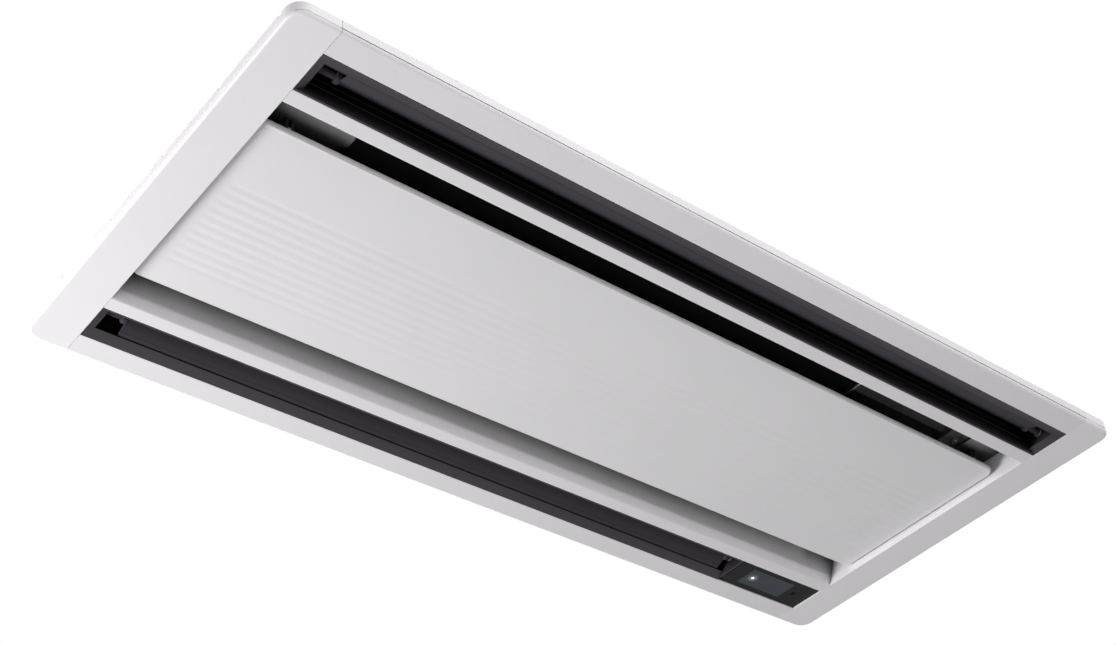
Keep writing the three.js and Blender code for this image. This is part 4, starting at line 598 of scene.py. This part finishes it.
@built_once
def lamp_lens(name):
    """Milky lens of the status lamp, glowing faintly."""
    material, s, shader, place = start_finish(name)
    for socket, tint, scale, low in (("Base Color", (0.9, 0.93, 1.0, 1.0), 300.0, 0.9),
                                     ("Emission Color", (0.92, 0.96, 1.0, 1.0), 500.0, 0.92)):
        s.feed(shader.inputs[socket], s.scale_colour(tint, s.remap(s.noise(place, scale), 0, 1, low, 1.0)))
    shader.inputs["Emission Strength"].default_value = 1.4
    shader.inputs["Roughness"].default_value = 0.25
    return material


def white_trim(name="trim_white", painted_shade_reach=0.15, tone=0.95):
    """White plastic of the trim, with painted shade within the given reach of other surfaces. The rails are a
    shade darker than the end caps.
    """
    return plastic(name, [c * tone for c in colours().trim], roughness=0.4, grain=1100.0, depth=2.5e-5,
                   drift=0.015, painted_shade_reach=painted_shade_reach)


def outlet_black():
    # Its colour carries painted shade within 70 mm of other surfaces.
    return plastic("outlet_dark", colours().outlet, grain=800.0, depth=6e-5, drift=0.06, specular=0.35,
                   painted_shade_reach=0.07)


def inner_black():
    return plastic("inner_black", colours().inner, roughness=0.55, grain=700.0, depth=6e-5, drift=0.1,
                   specular=0.12)


def galvanised(dust=0.0):
    return metal("galvanised_sheet" if not dust else "galvanised_dusty", colours().galvanised, dust=dust)


def soft_grey():
    return plastic("soft_grey_plastic", (0.16, 0.17, 0.18), roughness=0.5, grain=800.0)


def zinc():
    return metal("plated_zinc", (0.36, 0.35, 0.33), roughness=0.34, crystal=260.0, contrast=0.25)


# ---------------------------------------------------------------- panel trim
NOTCHES = (-307.0, -174.0, -41.0, 92.0, 225.0)
NOTCH_HALF, NOTCH_DROP = 3.5, 3.0


def cap_plan(end, inset, z, corner):
    """One end cap's outline, inset on its three outer sides. Its wall dips at the snap notches."""
    far, half = HALF_L - inset, HALF_W - inset
    radius = max(corner - inset, 0.5)
    points = [(SEAM + JOINT_GAP, -half, z)]
    for start, cy in ((-90, -half + radius), (0, half - radius)):
        for step in range(9):
            angle = math.radians(start + 90 * step / 8)
            points.append((far - radius + radius * math.cos(angle), cy + radius * math.sin(angle), z))
        if start == -90:
            for y in NOTCHES:
                low = z - NOTCH_DROP if z >= TRIM_H else z
                points += [(far, y - NOTCH_HALF - 0.1, z), (far, y - NOTCH_HALF, low),
                           (far, y + NOTCH_HALF, low), (far, y + NOTCH_HALF + 0.1, z)]
    points.append((SEAM + JOINT_GAP, half, z))
    return [(end * x, y, zz) for x, y, zz in points]


def edge_steps(radius, inset, low, count=7):
    """(inset, z) steps round a lower outer edge."""
    steps = []
    for i in range(count + 1):
        angle = math.pi / 2 * i / count
        steps.append((inset + radius * (1 - math.cos(angle)), low + radius * (1 - math.sin(angle))))
    return steps


def end_cap(end, word):
    corner = shape().corner_radius / MM
    radius = shape().edge_radius / MM
    shell = Shell()
    outer = [(0.0, TRIM_H)] + [(depth, z) for z, depth in REVEAL] + edge_steps(radius, 0.0, 0.0)
    inner = list(reversed([(WALL, TRIM_H)] + edge_steps(radius - 1.5, WALL, WALL, 4)))
    loops = [cap_plan(end, inset, z, corner) for inset, z in outer + inner]
    size = len(loops[0])
    k = len(outer)
    faces = []
    for r in range(len(loops)):
        if r == k - 1:
            continue
        nxt = (r + 1) % len(loops)
        for i in range(size - 1):
            faces.append((r * size + i, r * size + i + 1, nxt * size + i + 1, nxt * size + i))
    faces.append(tuple((k - 1) * size + i for i in range(size)))
    faces.append(tuple(k * size + i for i in range(size)))
    near = [r * size for r in range(len(loops))]
    far = [r * size + size - 1 for r in range(len(loops))]
    faces.append(tuple(near[:k] + far[:k][::-1] + far[k:][::-1] + near[k:]))
    shell.add([p for loop in loops for p in loop], faces)
    x0, x1 = sorted((end * (SEAM + JOINT_GAP - 0.1), end * (SEAM + JOINT_GAP + WALL)))
    section = rounded([(-TROUGH_V, 0.1), (TROUGH_V, 0.1), (TROUGH_TOP_V, TROUGH_TOP, 1),
                       (-TROUGH_TOP_V, TROUGH_TOP, 1)])
    shell.loft([[(x, y, z) for y, z in section] for x in (x0, x1)])
    # The end caps take a copy of the trim white with no painted shade.
    return shell.piece(f"end_cap_{word}_trim", FIXED, white_trim("cap_white", 0.0, 1.0), "white_trim",
                       f"end_cap_{word}", edge=0.3)


def outer_rail(side, word):
    radius = shape().edge_radius / MM
    section = rounded([
        (HALF_W, TRIM_H, 0.4), *((HALF_W - depth, z) for z, depth in REVEAL), (HALF_W, 0, radius),
        (SLOT_OUT, 0, 0.9), (SLOT_OUT, LIP_H, 0.4), (SLOT_OUT + WALL, LIP_H, 0.4),
        (SLOT_OUT + WALL, WALL, 0.8), (HALF_W - WALL, WALL, 2.5), (HALF_W - WALL, TRIM_H, 0.4)])
    shell = Shell()
    end = SEAM - JOINT_GAP
    shell.rail(side, section, -end, end)
    return shell.piece(f"outer_rail_{word}_trim", FIXED, white_trim(), "white_trim", f"outer_rail_{word}",
                       edge=0.25)


def inner_rail(side, word):
    lean = TROUGH_V - TROUGH_TOP_V
    thick = WALL * math.hypot(lean, TROUGH_TOP) / TROUGH_TOP
    at = lambda z: TROUGH_V - lean * z / TROUGH_TOP
    section = rounded([
        (SLOT_IN, 0, 0.9), (TROUGH_V, 0, 3.2), (TROUGH_TOP_V, TROUGH_TOP, 0.6),
        (TROUGH_TOP_V + thick, TROUGH_TOP, 0.6), (at(WALL) + thick, WALL, 1.5),
        (SLOT_IN - WALL, WALL, 0.8), (SLOT_IN - WALL, LIP_H, 0.4),
        (SLOT_IN, LIP_H, 0.4)])
    shell = Shell()
    end = SEAM - JOINT_GAP
    shell.rail(side, section, -end, end)
    return shell.piece(f"inner_rail_{word}_trim", FIXED, white_trim(), "white_trim", f"inner_rail_{word}",
                       edge=0.25)


# ---------------------------------------------------------------- inlet plate
PLATE_L, PLATE_W, RIM = 663.5, 163.5, 16.0
PLATE_CORNERS = {(1, -1): 16.0, (1, 1): 6.5, (-1, 1): 6.5, (-1, -1): 6.5}
PLATE_FACE, PLATE_TOP = 10.75, 17.5
GROOVE_FIRST = -48.0


def plate_height(x, y):
    """Height of the plate's face: soft grooves that start short of the ends and grow faint in the middle."""
    pitch = shape().groove_pitch / MM
    count = shape().groove_count
    depth = shape().groove_depth / MM
    along = (y - GROOVE_FIRST) / pitch + 0.5
    if along <= 0 or along >= count:
        return PLATE_FACE
    from_end = PLATE_L - abs(x)
    amount = ease(17, 34, from_end) * (1 - 0.62 * ease(60, 520, from_end))
    return PLATE_FACE + depth * amount * 0.5 * (1 - math.cos(2 * math.pi * along))


def inlet_plate():
    straight_x, straight_y = PLATE_L - RIM, PLATE_W - RIM
    pitch = shape().groove_pitch / MM
    xs = sorted({s * v for s in (-1, 1) for v in
                 [*range(0, 421, 60), 470, 510, 540, 565, 585, 600, 612, 620, 625, 629, 632, 635, 638, 641,
                  644, straight_x]})
    ys = {-straight_y, straight_y}
    ys |= {-straight_y + (2 * straight_y) * i / 24 for i in range(25)}
    low, high = GROOVE_FIRST - pitch / 2, GROOVE_FIRST + pitch * (shape().groove_count - 0.5)
    ys = {y for y in ys if y < low - 2 or y > high + 2}
    ys |= {low + pitch * i / 10 for i in range(10 * shape().groove_count + 1)}
    ys = sorted(ys)

    def ring(inset, z, back=False):
        half_x, half_y = PLATE_L - inset, PLATE_W - inset
        points = []
        corners = ((1, -1, -90), (1, 1, 0), (-1, 1, 90), (-1, -1, 180))
        spans = {(1, 1): ys, (-1, 1): xs[::-1], (-1, -1): ys[::-1], (1, -1): xs}
        for sx, sy, start in corners:
            if (sx, sy) in ((1, -1), (-1, 1)):
                fixed = sy * half_y
                points += [(x, fixed, z) for x in spans[(sx, sy)][1:-1]]
            else:
                fixed = sx * half_x
                points += [(fixed, y, z) for y in spans[(sx, sy)][1:-1]]
            radius = max(PLATE_CORNERS[(sx, sy)] - inset, 0.01)
            for step in range(9):
                angle = math.radians(start + 90 * step / 8)
                points.append((sx * (half_x - radius) + radius * math.cos(angle),
                               sy * (half_y - radius) + radius * math.sin(angle), z))
        return points

    lip = [(0.0, PLATE_TOP), (0.0, 13.4), (0.25, 12.2), (0.9, 11.2), (1.8, 10.6), (2.8, 10.42), (3.8, 10.5),
           (4.7, 10.68), (5.6, PLATE_FACE), (15.99, PLATE_FACE)]
    back = [(2.3, 13.2), (2.3, PLATE_TOP)]
    shell = Shell()
    rings = [ring(inset, z) for inset, z in lip]
    shell.loft(rings, caps=False)
    shell.loft([ring(inset, z) for inset, z in back] + [rings[0]], caps=False)
    shell.add(ring(*back[0]), [tuple(range(len(rings[0])))])
    grid = [(x, y, plate_height(x, y)) for y in ys for x in xs]
    wide = len(xs)
    shell.add(grid, [(j * wide + i, j * wide + i + 1, (j + 1) * wide + i + 1, (j + 1) * wide + i)
                     for j in range(len(ys) - 1) for i in range(wide - 1)])
    for x in (-440, -220, 0, 220, 440):
        shell.block(x - 1, x + 1, -162, 162, 13.1, 16.5)
    for end in (-1, 1):
        x = end * 625
        ear = rounded([(-161, 13), (-143, 13), (-147, 30, 4), (-157, 30, 4)])
        shell.loft([[(px, y, z) for y, z in ear] for px in (x - 2, x + 2)])
        shell.turned([(2.6, x - 6.8), (3, x - 6.4), (3, x + 6.4), (2.6, x + 6.8)],
                     lambda a, b, h: (h, -152 + a, 25 + b), 20)
        blade = rounded([(135, 13), (145, 13), (145, 37.3, 2), (135, 37.3, 2)])
        shell.loft([[(px, y, z) for y, z in blade] for px in (x - 1.5, x + 1.5)])
    white = plastic("plate_white", colours().plate, roughness=0.4, grain=1200.0, depth=2e-5, drift=0.012)
    return shell.piece("inlet_plate", "grille_body", white, "plate_white", "intake_grille")


# ---------------------------------------------------------------- flaps and outlets
def flap_section(side):
    """The blade's arc with a thicker rounded lip, leaning at the rest slope."""
    lip, tail, thick, slope = 26.3, 23.5, 2.4, math.radians(-36)
    sag = shape().flap_sag / MM
    chord = lip + tail
    radius = chord * chord / (8 * sag) + sag / 2
    half = math.asin(chord / (2 * radius))
    middle = (lip - tail) / 2
    steps = 26
    belly, back = [], []
    for i in range(steps + 1):
        t = i / steps
        angle = -half + 2 * half * t
        fat = 0.55 * ease(0.84, 0.88, t)
        thin = thick * (0.55 + 0.45 * ease(0.0, 0.12, t))
        for line, reach in ((belly, radius + fat), (back, radius - thin)):
            line.append((middle + reach * math.sin(angle), radius - sag - reach * math.cos(angle)))
    tip = [(lip + 0.5, thick * 0.1), (lip + 0.7, thick * 0.35), (lip + 0.2, thick * 0.75)]
    turned = []
    for a, b in belly + tip + back[::-1]:
        turned.append((FLAP_V + a * math.cos(slope) - b * math.sin(slope),
                       FLAP_Z + a * math.sin(slope) + b * math.cos(slope)))
    return [(side * v, z) for v, z in turned]


def flap(side, word):
    left = -621.7
    right = 621.7 if side < 0 else 473.2
    wall = OUTLET_END if side < 0 else BULKHEAD
    shell = Shell()
    section = flap_section(side)
    shell.loft([[(x, y, z) for y, z in section] for x in (left, right)])
    axis = lambda a, b, h: (h, side * FLAP_V + a, FLAP_Z + b)
    for inner, outer, reach in ((left + 2, left - 6, -OUTLET_END + 2.7), (right - 2, right + 6, wall - 2.7)):
        s = 1 if outer > inner else -1
        shell.turned([(6.5, inner), (8.4, inner + s), (9, inner + 2 * s), (9, outer - 1.2 * s),
                      (8.3, outer - 0.3 * s), (7.2, outer), (5.4, outer + 0.2 * s), (5, outer + s),
                      (5, reach - 0.6 * s), (4.4, reach)], axis, 36)
    shell.turned([(4, right + 2), (4, wall + 3), (3.4, wall + 3.5)], axis, 24)
    # The flap's colour carries painted shade within 5 mm of other surfaces, as along its lip.
    charcoal = plastic("flap_charcoal", colours().flap, grain=620.0, depth=9e-5, drift=0.05, specular=0.05,
                       painted_shade_reach=0.005)
    return shell.piece(f"air_flap_{word}", f"flap_{word}_body", charcoal, "flap_grey", f"flap_{word}",
                       edge=0.3, edge_angle=50)


def outlet_ridges(side, word):
    """The thin bright ridge along the ledge's inner edge and the fine ribs on the outlet's walls."""
    shell = Shell()
    right = OUTLET_END - 0.4 if side < 0 else BULKHEAD - 0.3
    left = -OUTLET_END + 0.4
    tip_v, tip_z = 283.9, 6.3
    turns = [2 * math.pi * i / 12 for i in range(12)]
    bead = [(tip_v + 0.75 * math.cos(a), tip_z + 0.75 * math.sin(a)) for a in turns]
    shell.rail(side, bead, left, right)
    for wall, crest, heights in ((289.9, 288.9, (24.0, 36.0, 48.0)), (236.5, 237.5, (22.0, 34.0, 46.0))):
        for z in heights:
            rib = [(wall, z - 0.7), (crest, z - 0.5, 0.4), (crest, z + 0.5, 0.4), (wall, z + 0.7)]
            shell.rail(side, rounded(rib, 3), left, right)
    return shell.piece(f"outlet_ridges_{word}", FIXED, outlet_black(), "black_plastic")


# ---------------------------------------------------------------- casing fittings
def pressed_bead(shell, place, u0, u1, v, width, height):
    """A long pressed bead with round ends; place(u, v, out) puts it on a sheet."""
    rings = []
    across = 10
    turns = [math.pi / 2 * i / 6 for i in range(7)]
    stations = [(u0 - width / 2 * math.cos(a), math.sin(a)) for a in turns]
    stations += [(u1 + width / 2 * math.sin(a), math.cos(a)) for a in turns]
    for u, grow in stations:
        grow = max(grow, 0.02)
        top = []
        for k in range(across + 1):
            rise = height * grow * 0.5 * (1 - math.cos(2 * math.pi * k / across))
            top.append(place(u, v + width / 2 * grow * (2 * k / across - 1), rise))
        under = [place(u, v + width / 2 * grow, -0.4), place(u, v - width / 2 * grow, -0.4)]
        rings.append(top + under)
    shell.loft(rings)


def sheet_screw(shell, place, u, v):
    """A hexagon washer-head screw on a sheet."""

    def disc(radius, height, sides):
        turns = [2 * math.pi * i / sides for i in range(sides)]
        return [place(u + radius * math.cos(a), v + radius * math.sin(a), height) for a in turns]

    shell.loft([disc(5.2, -0.2, 20), disc(5.2, 0.5, 20), disc(4.7, 0.9, 20)])
    shell.loft([disc(3.9, 0.7, 6), disc(3.9, 2.4, 6), disc(3.2, 2.9, 6)])


def casing_details():
    top = lambda u, v, h: (u, v, CASING_TOP + h)
    beads_made = Shell()
    for y in (-262, 262):
        for x0, x1 in ((-520, -150), (-80, 300), (360, 520)):
            pressed_bead(beads_made, top, x0, x1, y, 10, 1.6)
    for side in (-1, 1):
        wall = lambda u, v, h, side=side: (u, side * (CASING_V + h), v)
        for z in (110, 180, 250):
            for x0, x1 in ((-540, -210), (-160, 160), (210, 540)):
                pressed_bead(beads_made, wall, x0, x1, z, 16, 2.6)
    for end in (-1, 1):
        plate = lambda u, v, h, end=end: (end * (CASING_END + h), u, v)
        pressed_bead(beads_made, plate, -120, 120, 100 if end < 0 else 90, 14, 2.4)
        if end > 0:
            pressed_bead(beads_made, plate, -120, 20, 200, 14, 2.4)
            pressed_bead(beads_made, plate, -120, 120, 260, 14, 2.4)
    beads_made.piece("casing_pressed_beads", FIXED, galvanised(0.35), "galvanised")
    screws = Shell()
    for side in (-1, 1):
        for i in range(9):
            sheet_screw(screws, top, -548 + 137 * i, side * 291)
        wall = lambda u, v, h, side=side: (u, side * (CASING_V + h), v)
        for x in (-578, 578):
            for z in (90, 160, 230, 300):
                sheet_screw(screws, wall, x, z)
    for end in (-1, 1):
        face = lambda u, v, h, end=end: (end * (CASING_END + 2.8 + h), u, v)
        plate = lambda u, v, h, end=end: (end * (CASING_END + h), u, v)
        for side in (-1, 1):
            for y, z in ((-22, 220), (22, 220), (0, 190)):
                sheet_screw(screws, face, side * 205 + y * 0.8, z)
        for y in (-240, -120, 0, 120, 240):
            sheet_screw(screws, plate, y, 74)
    bright = metal("screw_zinc", (0.55, 0.56, 0.57), roughness=0.28, crystal=300.0, contrast=0.2)
    screws.piece("casing_screws", FIXED, bright, "galvanised", edge=0.25)


# ---------------------------------------------------------------- operators
class CASSETTE_OT_trim(bpy.types.Operator):
    """White trim: end caps, outer rails and inner rails, with the frame and seal behind them"""
    bl_idname = "cassette.trim"
    bl_label = "Panel trim"

    def execute(self, context):
        for end, word in ENDS:
            end_cap(end, word)
        for side, word in SIDES:
            outer_rail(side, word)
            inner_rail(side, word)
        # The frame's colour carries settled dust on faces turned up and painted shade within 150 mm of other
        # surfaces.
        dress("panel_base_frame", plastic("frame_white", (0.70, 0.69, 0.70), roughness=0.5, grain=800.0,
                                          depth=4e-5, dust=0.25, painted_shade_reach=0.15))
        dress("panel_seal", foam("seal_foam", colours().foam), 0.8)
        return {"FINISHED"}


class CASSETTE_OT_inlet(bpy.types.Operator):
    """Grooved inlet plate, the filter above it and the fittings seen through the inlet"""
    bl_idname = "cassette.inlet"
    bl_label = "Inlet"

    def execute(self, context):
        inlet_plate()
        dress("air_filter", net("filter_net", (0.010, 0.011, 0.012)), 0.3)
        dress("box_bracket", zinc(), 0.3)
        steel = metal("screw_steel", (0.6, 0.6, 0.6), roughness=0.25, crystal=300.0, contrast=0.15)
        for node in ("ledge_screw", "bracket_screw"):
            dress(node, steel, 0.2)
        for word in ("left", "right"):
            dress(f"bellmouth_{word}", inner_black(), 0.5)
        return {"FINISHED"}


class CASSETTE_OT_outlets(bpy.types.Operator):
    """Outlet frames, guide vanes, flaps and what turns them"""
    bl_idname = "cassette.outlets"
    bl_label = "Outlets and flaps"

    def execute(self, context):
        for side, word in SIDES:
            dress(f"outlet_frame_{word}", outlet_black(), 0.4)
            dress(f"vane_rack_{word}", inner_black(), 0.3)
            outlet_ridges(side, word)
            flap(side, word)
            dress(f"flap_bush_{word}", plastic("bush_grey", (0.10, 0.10, 0.11), roughness=0.4), 0.3)
            dress(f"flap_motor_{word}", galvanised(), 0.4)
        return {"FINISHED"}


class CASSETTE_OT_receiver(bpy.types.Operator):
    """Signal receiver at the right end of the rear outlet"""
    bl_idname = "cassette.receiver"
    bl_label = "Signal receiver"

    def execute(self, context):
        cover_black = plastic("receiver_black", (0.012, 0.012, 0.014), roughness=0.4, specular=0.25)
        dress("receiver_cover", cover_black, 0.5)
        dress("receiver_window", tinted_window("receiver_tint"), 0.3)
        dress("status_led", lamp_lens("status_lens"), 0.3)
        dress("receiver_button", inner_black(), 0.4)
        dress("receiver_board", board("circuit_board"), 0.0)
        return {"FINISHED"}


class CASSETTE_OT_casing(bpy.types.Operator):
    """Sheet-metal casing, hanger brackets and duct liners"""
    bl_idname = "cassette.casing"
    bl_label = "Casing"

    def execute(self, context):
        dress("casing_top", galvanised(0.35), 0.4)
        for _, word in SIDES:
            dress(f"casing_side_{word}", galvanised(0.35), 0.4)
            dress(f"duct_liner_{word}", foam("liner_foam", (0.045, 0.047, 0.05), 300.0, 4e-4), 0.8)
        for _, word in ENDS:
            dress(f"casing_end_{word}", galvanised(0.35), 0.4)
            for _, row in SIDES:
                dress(f"hanger_bracket_{row}_{word}", galvanised(0.35), 0.5)
        casing_details()
        return {"FINISHED"}


class CASSETTE_OT_air_path(bpy.types.Operator):
    """Fans, motors, coils and the drain pan"""
    bl_idname = "cassette.air_path"
    bl_label = "Fans and coils"

    def execute(self, context):
        motor_grey = metal("motor_can", (0.30, 0.31, 0.32), roughness=0.4, crystal=200.0)
        fan_black = plastic("fan_black", (0.016, 0.018, 0.02), roughness=0.45, grain=500.0, depth=5e-5)
        for _, word in ENDS:
            dress(f"fan_{word}", fan_black, 0.4)
            dress(f"fan_motor_{word}", motor_grey, 0.6)
        for _, word in SIDES:
            dress(f"coil_{word}", finned("coil_fins"), 0.2)
        dress("drain_pan", beads("pan_foam", (0.085, 0.085, 0.09)), 1.2)
        return {"FINISHED"}


class CASSETTE_OT_services(bpy.types.Operator):
    """Refrigerant pipes, flare nuts, drain pump and drain spigot"""
    bl_idname = "cassette.services"
    bl_label = "Pipes and drain"

    def execute(self, context):
        copper = metal("drawn_copper", colours().copper, roughness=0.24, crystal=40.0, contrast=0.2)
        brass = metal("turned_brass", colours().brass, roughness=0.26, crystal=120.0, contrast=0.12)
        for line in ("gas", "liquid"):
            dress(f"{line}_pipe", copper, 0.3)
            dress(f"{line}_flare_nut", brass, 0.8)
        dress("drain_pump", soft_grey(), 0.6)
        dress("pump_float", beads("float_foam", (0.8, 0.79, 0.75)), 0.6)
        dress("drain_spigot", soft_grey(), 0.6)
        return {"FINISHED"}


class CASSETTE_OT_controls(bpy.types.Operator):
    """Control box, its cover, board, terminals and cable gland"""
    bl_idname = "cassette.controls"
    bl_label = "Control box"

    def execute(self, context):
        dress("control_box", galvanised(), 0.4)
        cover_dark = metal("cover_dark", (0.045, 0.045, 0.048), roughness=0.55, crystal=200.0)
        dress("control_box_cover", cover_dark, 0.3)
        dress("control_board", board("circuit_board"), 0.2)
        dress("terminal_block", plastic("terminal_cream", (0.45, 0.42, 0.34), roughness=0.45), 0.3)
        dress("cable_gland", inner_black(), 0.6)
        return {"FINISHED"}


class CASSETTE_OT_stage(bpy.types.Operator):
    """Camera at the photograph's angle, soft lamps, pale floor and white surroundings"""
    bl_idname = "cassette.stage"
    bl_label = "Stage"

    def execute(self, context):
        make_camera()
        make_surroundings()
        make_lamps()
        return {"FINISHED"}


# ---------------------------------------------------------------- stage
PHOTO_W = 1116
FOCAL_PX = 1755.5
EYE = (-1.3671, -1.4491, -1.5372)
RIGHT = (0.78285, -0.61844, -0.06838)
UP = (-0.35772, -0.53727, 0.76378)
FORWARD = (0.50910, 0.57347, 0.64184)
FLOOR_Z, CEILING_Z = -3.4, 0.0239


def make_camera():
    data = bpy.data.cameras.new("photo_camera")
    data.sensor_fit = "HORIZONTAL"
    data.sensor_width = 36.0
    data.lens = FOCAL_PX / PHOTO_W * data.sensor_width
    data.clip_start = 0.01
    data.clip_end = 300.0
    camera = bpy.data.objects.new("photo_camera", data)
    bpy.context.scene.collection.objects.link(camera)
    axes = Matrix((RIGHT, UP, tuple(-c for c in FORWARD))).transposed().to_4x4()
    camera.matrix_world = Matrix.Translation(EYE) @ axes
    bpy.context.scene.camera = camera


def seen_white(s, strength, colour_value):
    """White for what the camera, a mirror or glass sees, and a plain light for all else."""
    path = s.node("LightPath")
    seen = s.math("MAXIMUM", path.outputs["Is Camera Ray"],
                  s.math("MAXIMUM", path.outputs["Is Glossy Ray"], path.outputs["Is Transmission Ray"]))
    power = s.math("MULTIPLY_ADD", seen, 1.0 - strength, strength)
    light = s.node("Background")
    light.inputs["Color"].default_value = colour_value
    s.feed(light.inputs["Strength"], power)
    return light.outputs[0]


def make_surroundings():
    world = bpy.data.worlds.new("white_room")
    world.use_nodes = True
    tree = world.node_tree
    tree.nodes.clear()
    s = Sketch(tree)
    out = s.node("OutputWorld")
    tree.links.new(seen_white(s, 0.255, (1.0, 1.0, 1.0, 1.0)), out.inputs[0])
    bpy.context.scene.world = world
    bpy.context.scene.view_settings.view_transform = "Standard"
    stage_sheet("floor", [(x, y, FLOOR_Z) for x, y in corners(60.0, 60.0)], [(0, 1, 2, 3)], floor_finish())
    hole = corners(HALF_L * MM - 0.03, HALF_W * MM - 0.022)
    ring = [(x, y, CEILING_Z) for x, y in corners(60.0, 60.0) + hole]
    ceiling = stage_sheet("ceiling", ring, [(i, 4 + i, 4 + (i + 1) % 4, (i + 1) % 4) for i in range(4)],
                          ceiling_finish())
    for kind in ("diffuse", "glossy", "transmission", "volume_scatter", "shadow"):
        setattr(ceiling, "visible_" + kind, False)


def corners(x, y):
    return [(-x, -y), (x, -y), (x, y), (-x, y)]


def stage_sheet(name, points, faces, material):
    mesh = bpy.data.meshes.new(name)
    mesh.from_pydata(points, [], faces)
    mesh.materials.append(material)
    sheet = bpy.data.objects.new(name, mesh)
    bpy.context.scene.collection.objects.link(sheet)
    sheet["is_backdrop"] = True
    return sheet


def floor_finish():
    """Pale floor that looks near white to the camera and still takes the shadow."""
    material, s, shader, place = start_finish("pale_floor")
    tone = s.remap(s.noise(place, 3.0), 0, 1, 0.98, 1.0)
    s.feed(shader.inputs["Base Color"], s.scale_colour((0.9, 0.9, 0.9, 1.0), tone))
    seen = s.node("LightPath").outputs["Is Camera Ray"]
    s.feed(shader.inputs["Emission Strength"], s.math("MULTIPLY", seen, 0.5))
    shader.inputs["Emission Color"].default_value = (1.0, 1.0, 1.0, 1.0)
    shader.inputs["Roughness"].default_value = 0.8
    return material


def ceiling_finish():
    """The white ceiling the panel is fitted in, as seen from the room. From above it isn't there."""
    material = bpy.data.materials.new("white_ceiling")
    material.use_nodes = True
    tree = material.node_tree
    tree.nodes.clear()
    s = Sketch(tree)
    white = s.node("Emission")
    clear = s.node("BsdfTransparent")
    choice = s.node("MixShader")
    out = s.node("OutputMaterial")
    s.feed(choice.inputs[0], s.node("NewGeometry").outputs["Backfacing"])
    tree.links.new(white.outputs[0], choice.inputs[1])
    tree.links.new(clear.outputs[0], choice.inputs[2])
    tree.links.new(choice.outputs[0], out.inputs[0])
    return material


def make_lamps():
    lamps = (
        ("lamp_key", (-2.2, 1.5, -1.2), (0.0, 0.0, 0.0), 1.2, 75.0),
        ("lamp_front", (-0.3, -2.8, -0.14), (0.0, 0.0, 0.0), 0.7, 38.0),
        ("lamp_above", (0.6, -0.9, 3.0), (0.0, 0.0, 0.2), 2.6, 42.0),
        ("lamp_rear", (-1.4, 2.6, 1.2), (0.0, 0.0, 0.15), 1.6, 20.0),
    )
    for name, place, aim, size, power in lamps:
        data = bpy.data.lights.new(name, "AREA")
        data.shape = "DISK"
        data.size = size
        data.energy = power
        lamp = bpy.data.objects.new(name, data)
        lamp.location = place
        lamp.visible_glossy = name != "lamp_front"  # it would glare in the casing's sheet metal
        lamp.rotation_euler = (Vector(aim) - Vector(place)).to_track_quat("-Z", "Y").to_euler()
        bpy.context.scene.collection.objects.link(lamp)


# ---------------------------------------------------------------- panel and registration
BUILD_ORDER = (
    CASSETTE_OT_stage, CASSETTE_OT_trim, CASSETTE_OT_inlet, CASSETTE_OT_outlets, CASSETTE_OT_receiver,
    CASSETTE_OT_casing, CASSETTE_OT_air_path, CASSETTE_OT_services, CASSETTE_OT_controls,
)


class CASSETTE_PT_panel(bpy.types.Panel):
    """Lists the cassette's builders and settings"""
    bl_idname = "CASSETTE_PT_panel"
    bl_label = "Ceiling cassette"
    bl_space_type = "VIEW_3D"
    bl_region_type = "UI"
    bl_category = "Cassette"

    def draw(self, context):
        layout = self.layout
        for group in (context.scene.cassette_shape, context.scene.cassette_colours):
            box = layout.box()
            for key in group.__annotations__:
                box.prop(group, key)
        for operator in BUILD_ORDER:
            layout.operator(operator.bl_idname)


CLASSES = (CassetteShape, CassetteColours, *BUILD_ORDER, CASSETTE_PT_panel)


def register():
    for cls in CLASSES:
        bpy.utils.register_class(cls)
    bpy.types.Scene.cassette_shape = PointerProperty(type=CassetteShape)
    bpy.types.Scene.cassette_colours = PointerProperty(type=CassetteColours)


def unregister():
    del bpy.types.Scene.cassette_colours
    del bpy.types.Scene.cassette_shape
    for cls in reversed(CLASSES):
        bpy.utils.unregister_class(cls)


def main():
    register()
    for operator in BUILD_ORDER:
        family, action = operator.bl_idname.split(".")
        getattr(getattr(bpy.ops, family), action)()
    numbers = lambda bounds: [list(corner) for corner in bounds]
    {"cad": numbers(CAD_BOX), "visual": numbers(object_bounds())}


if __name__ == "__main__":
    main()
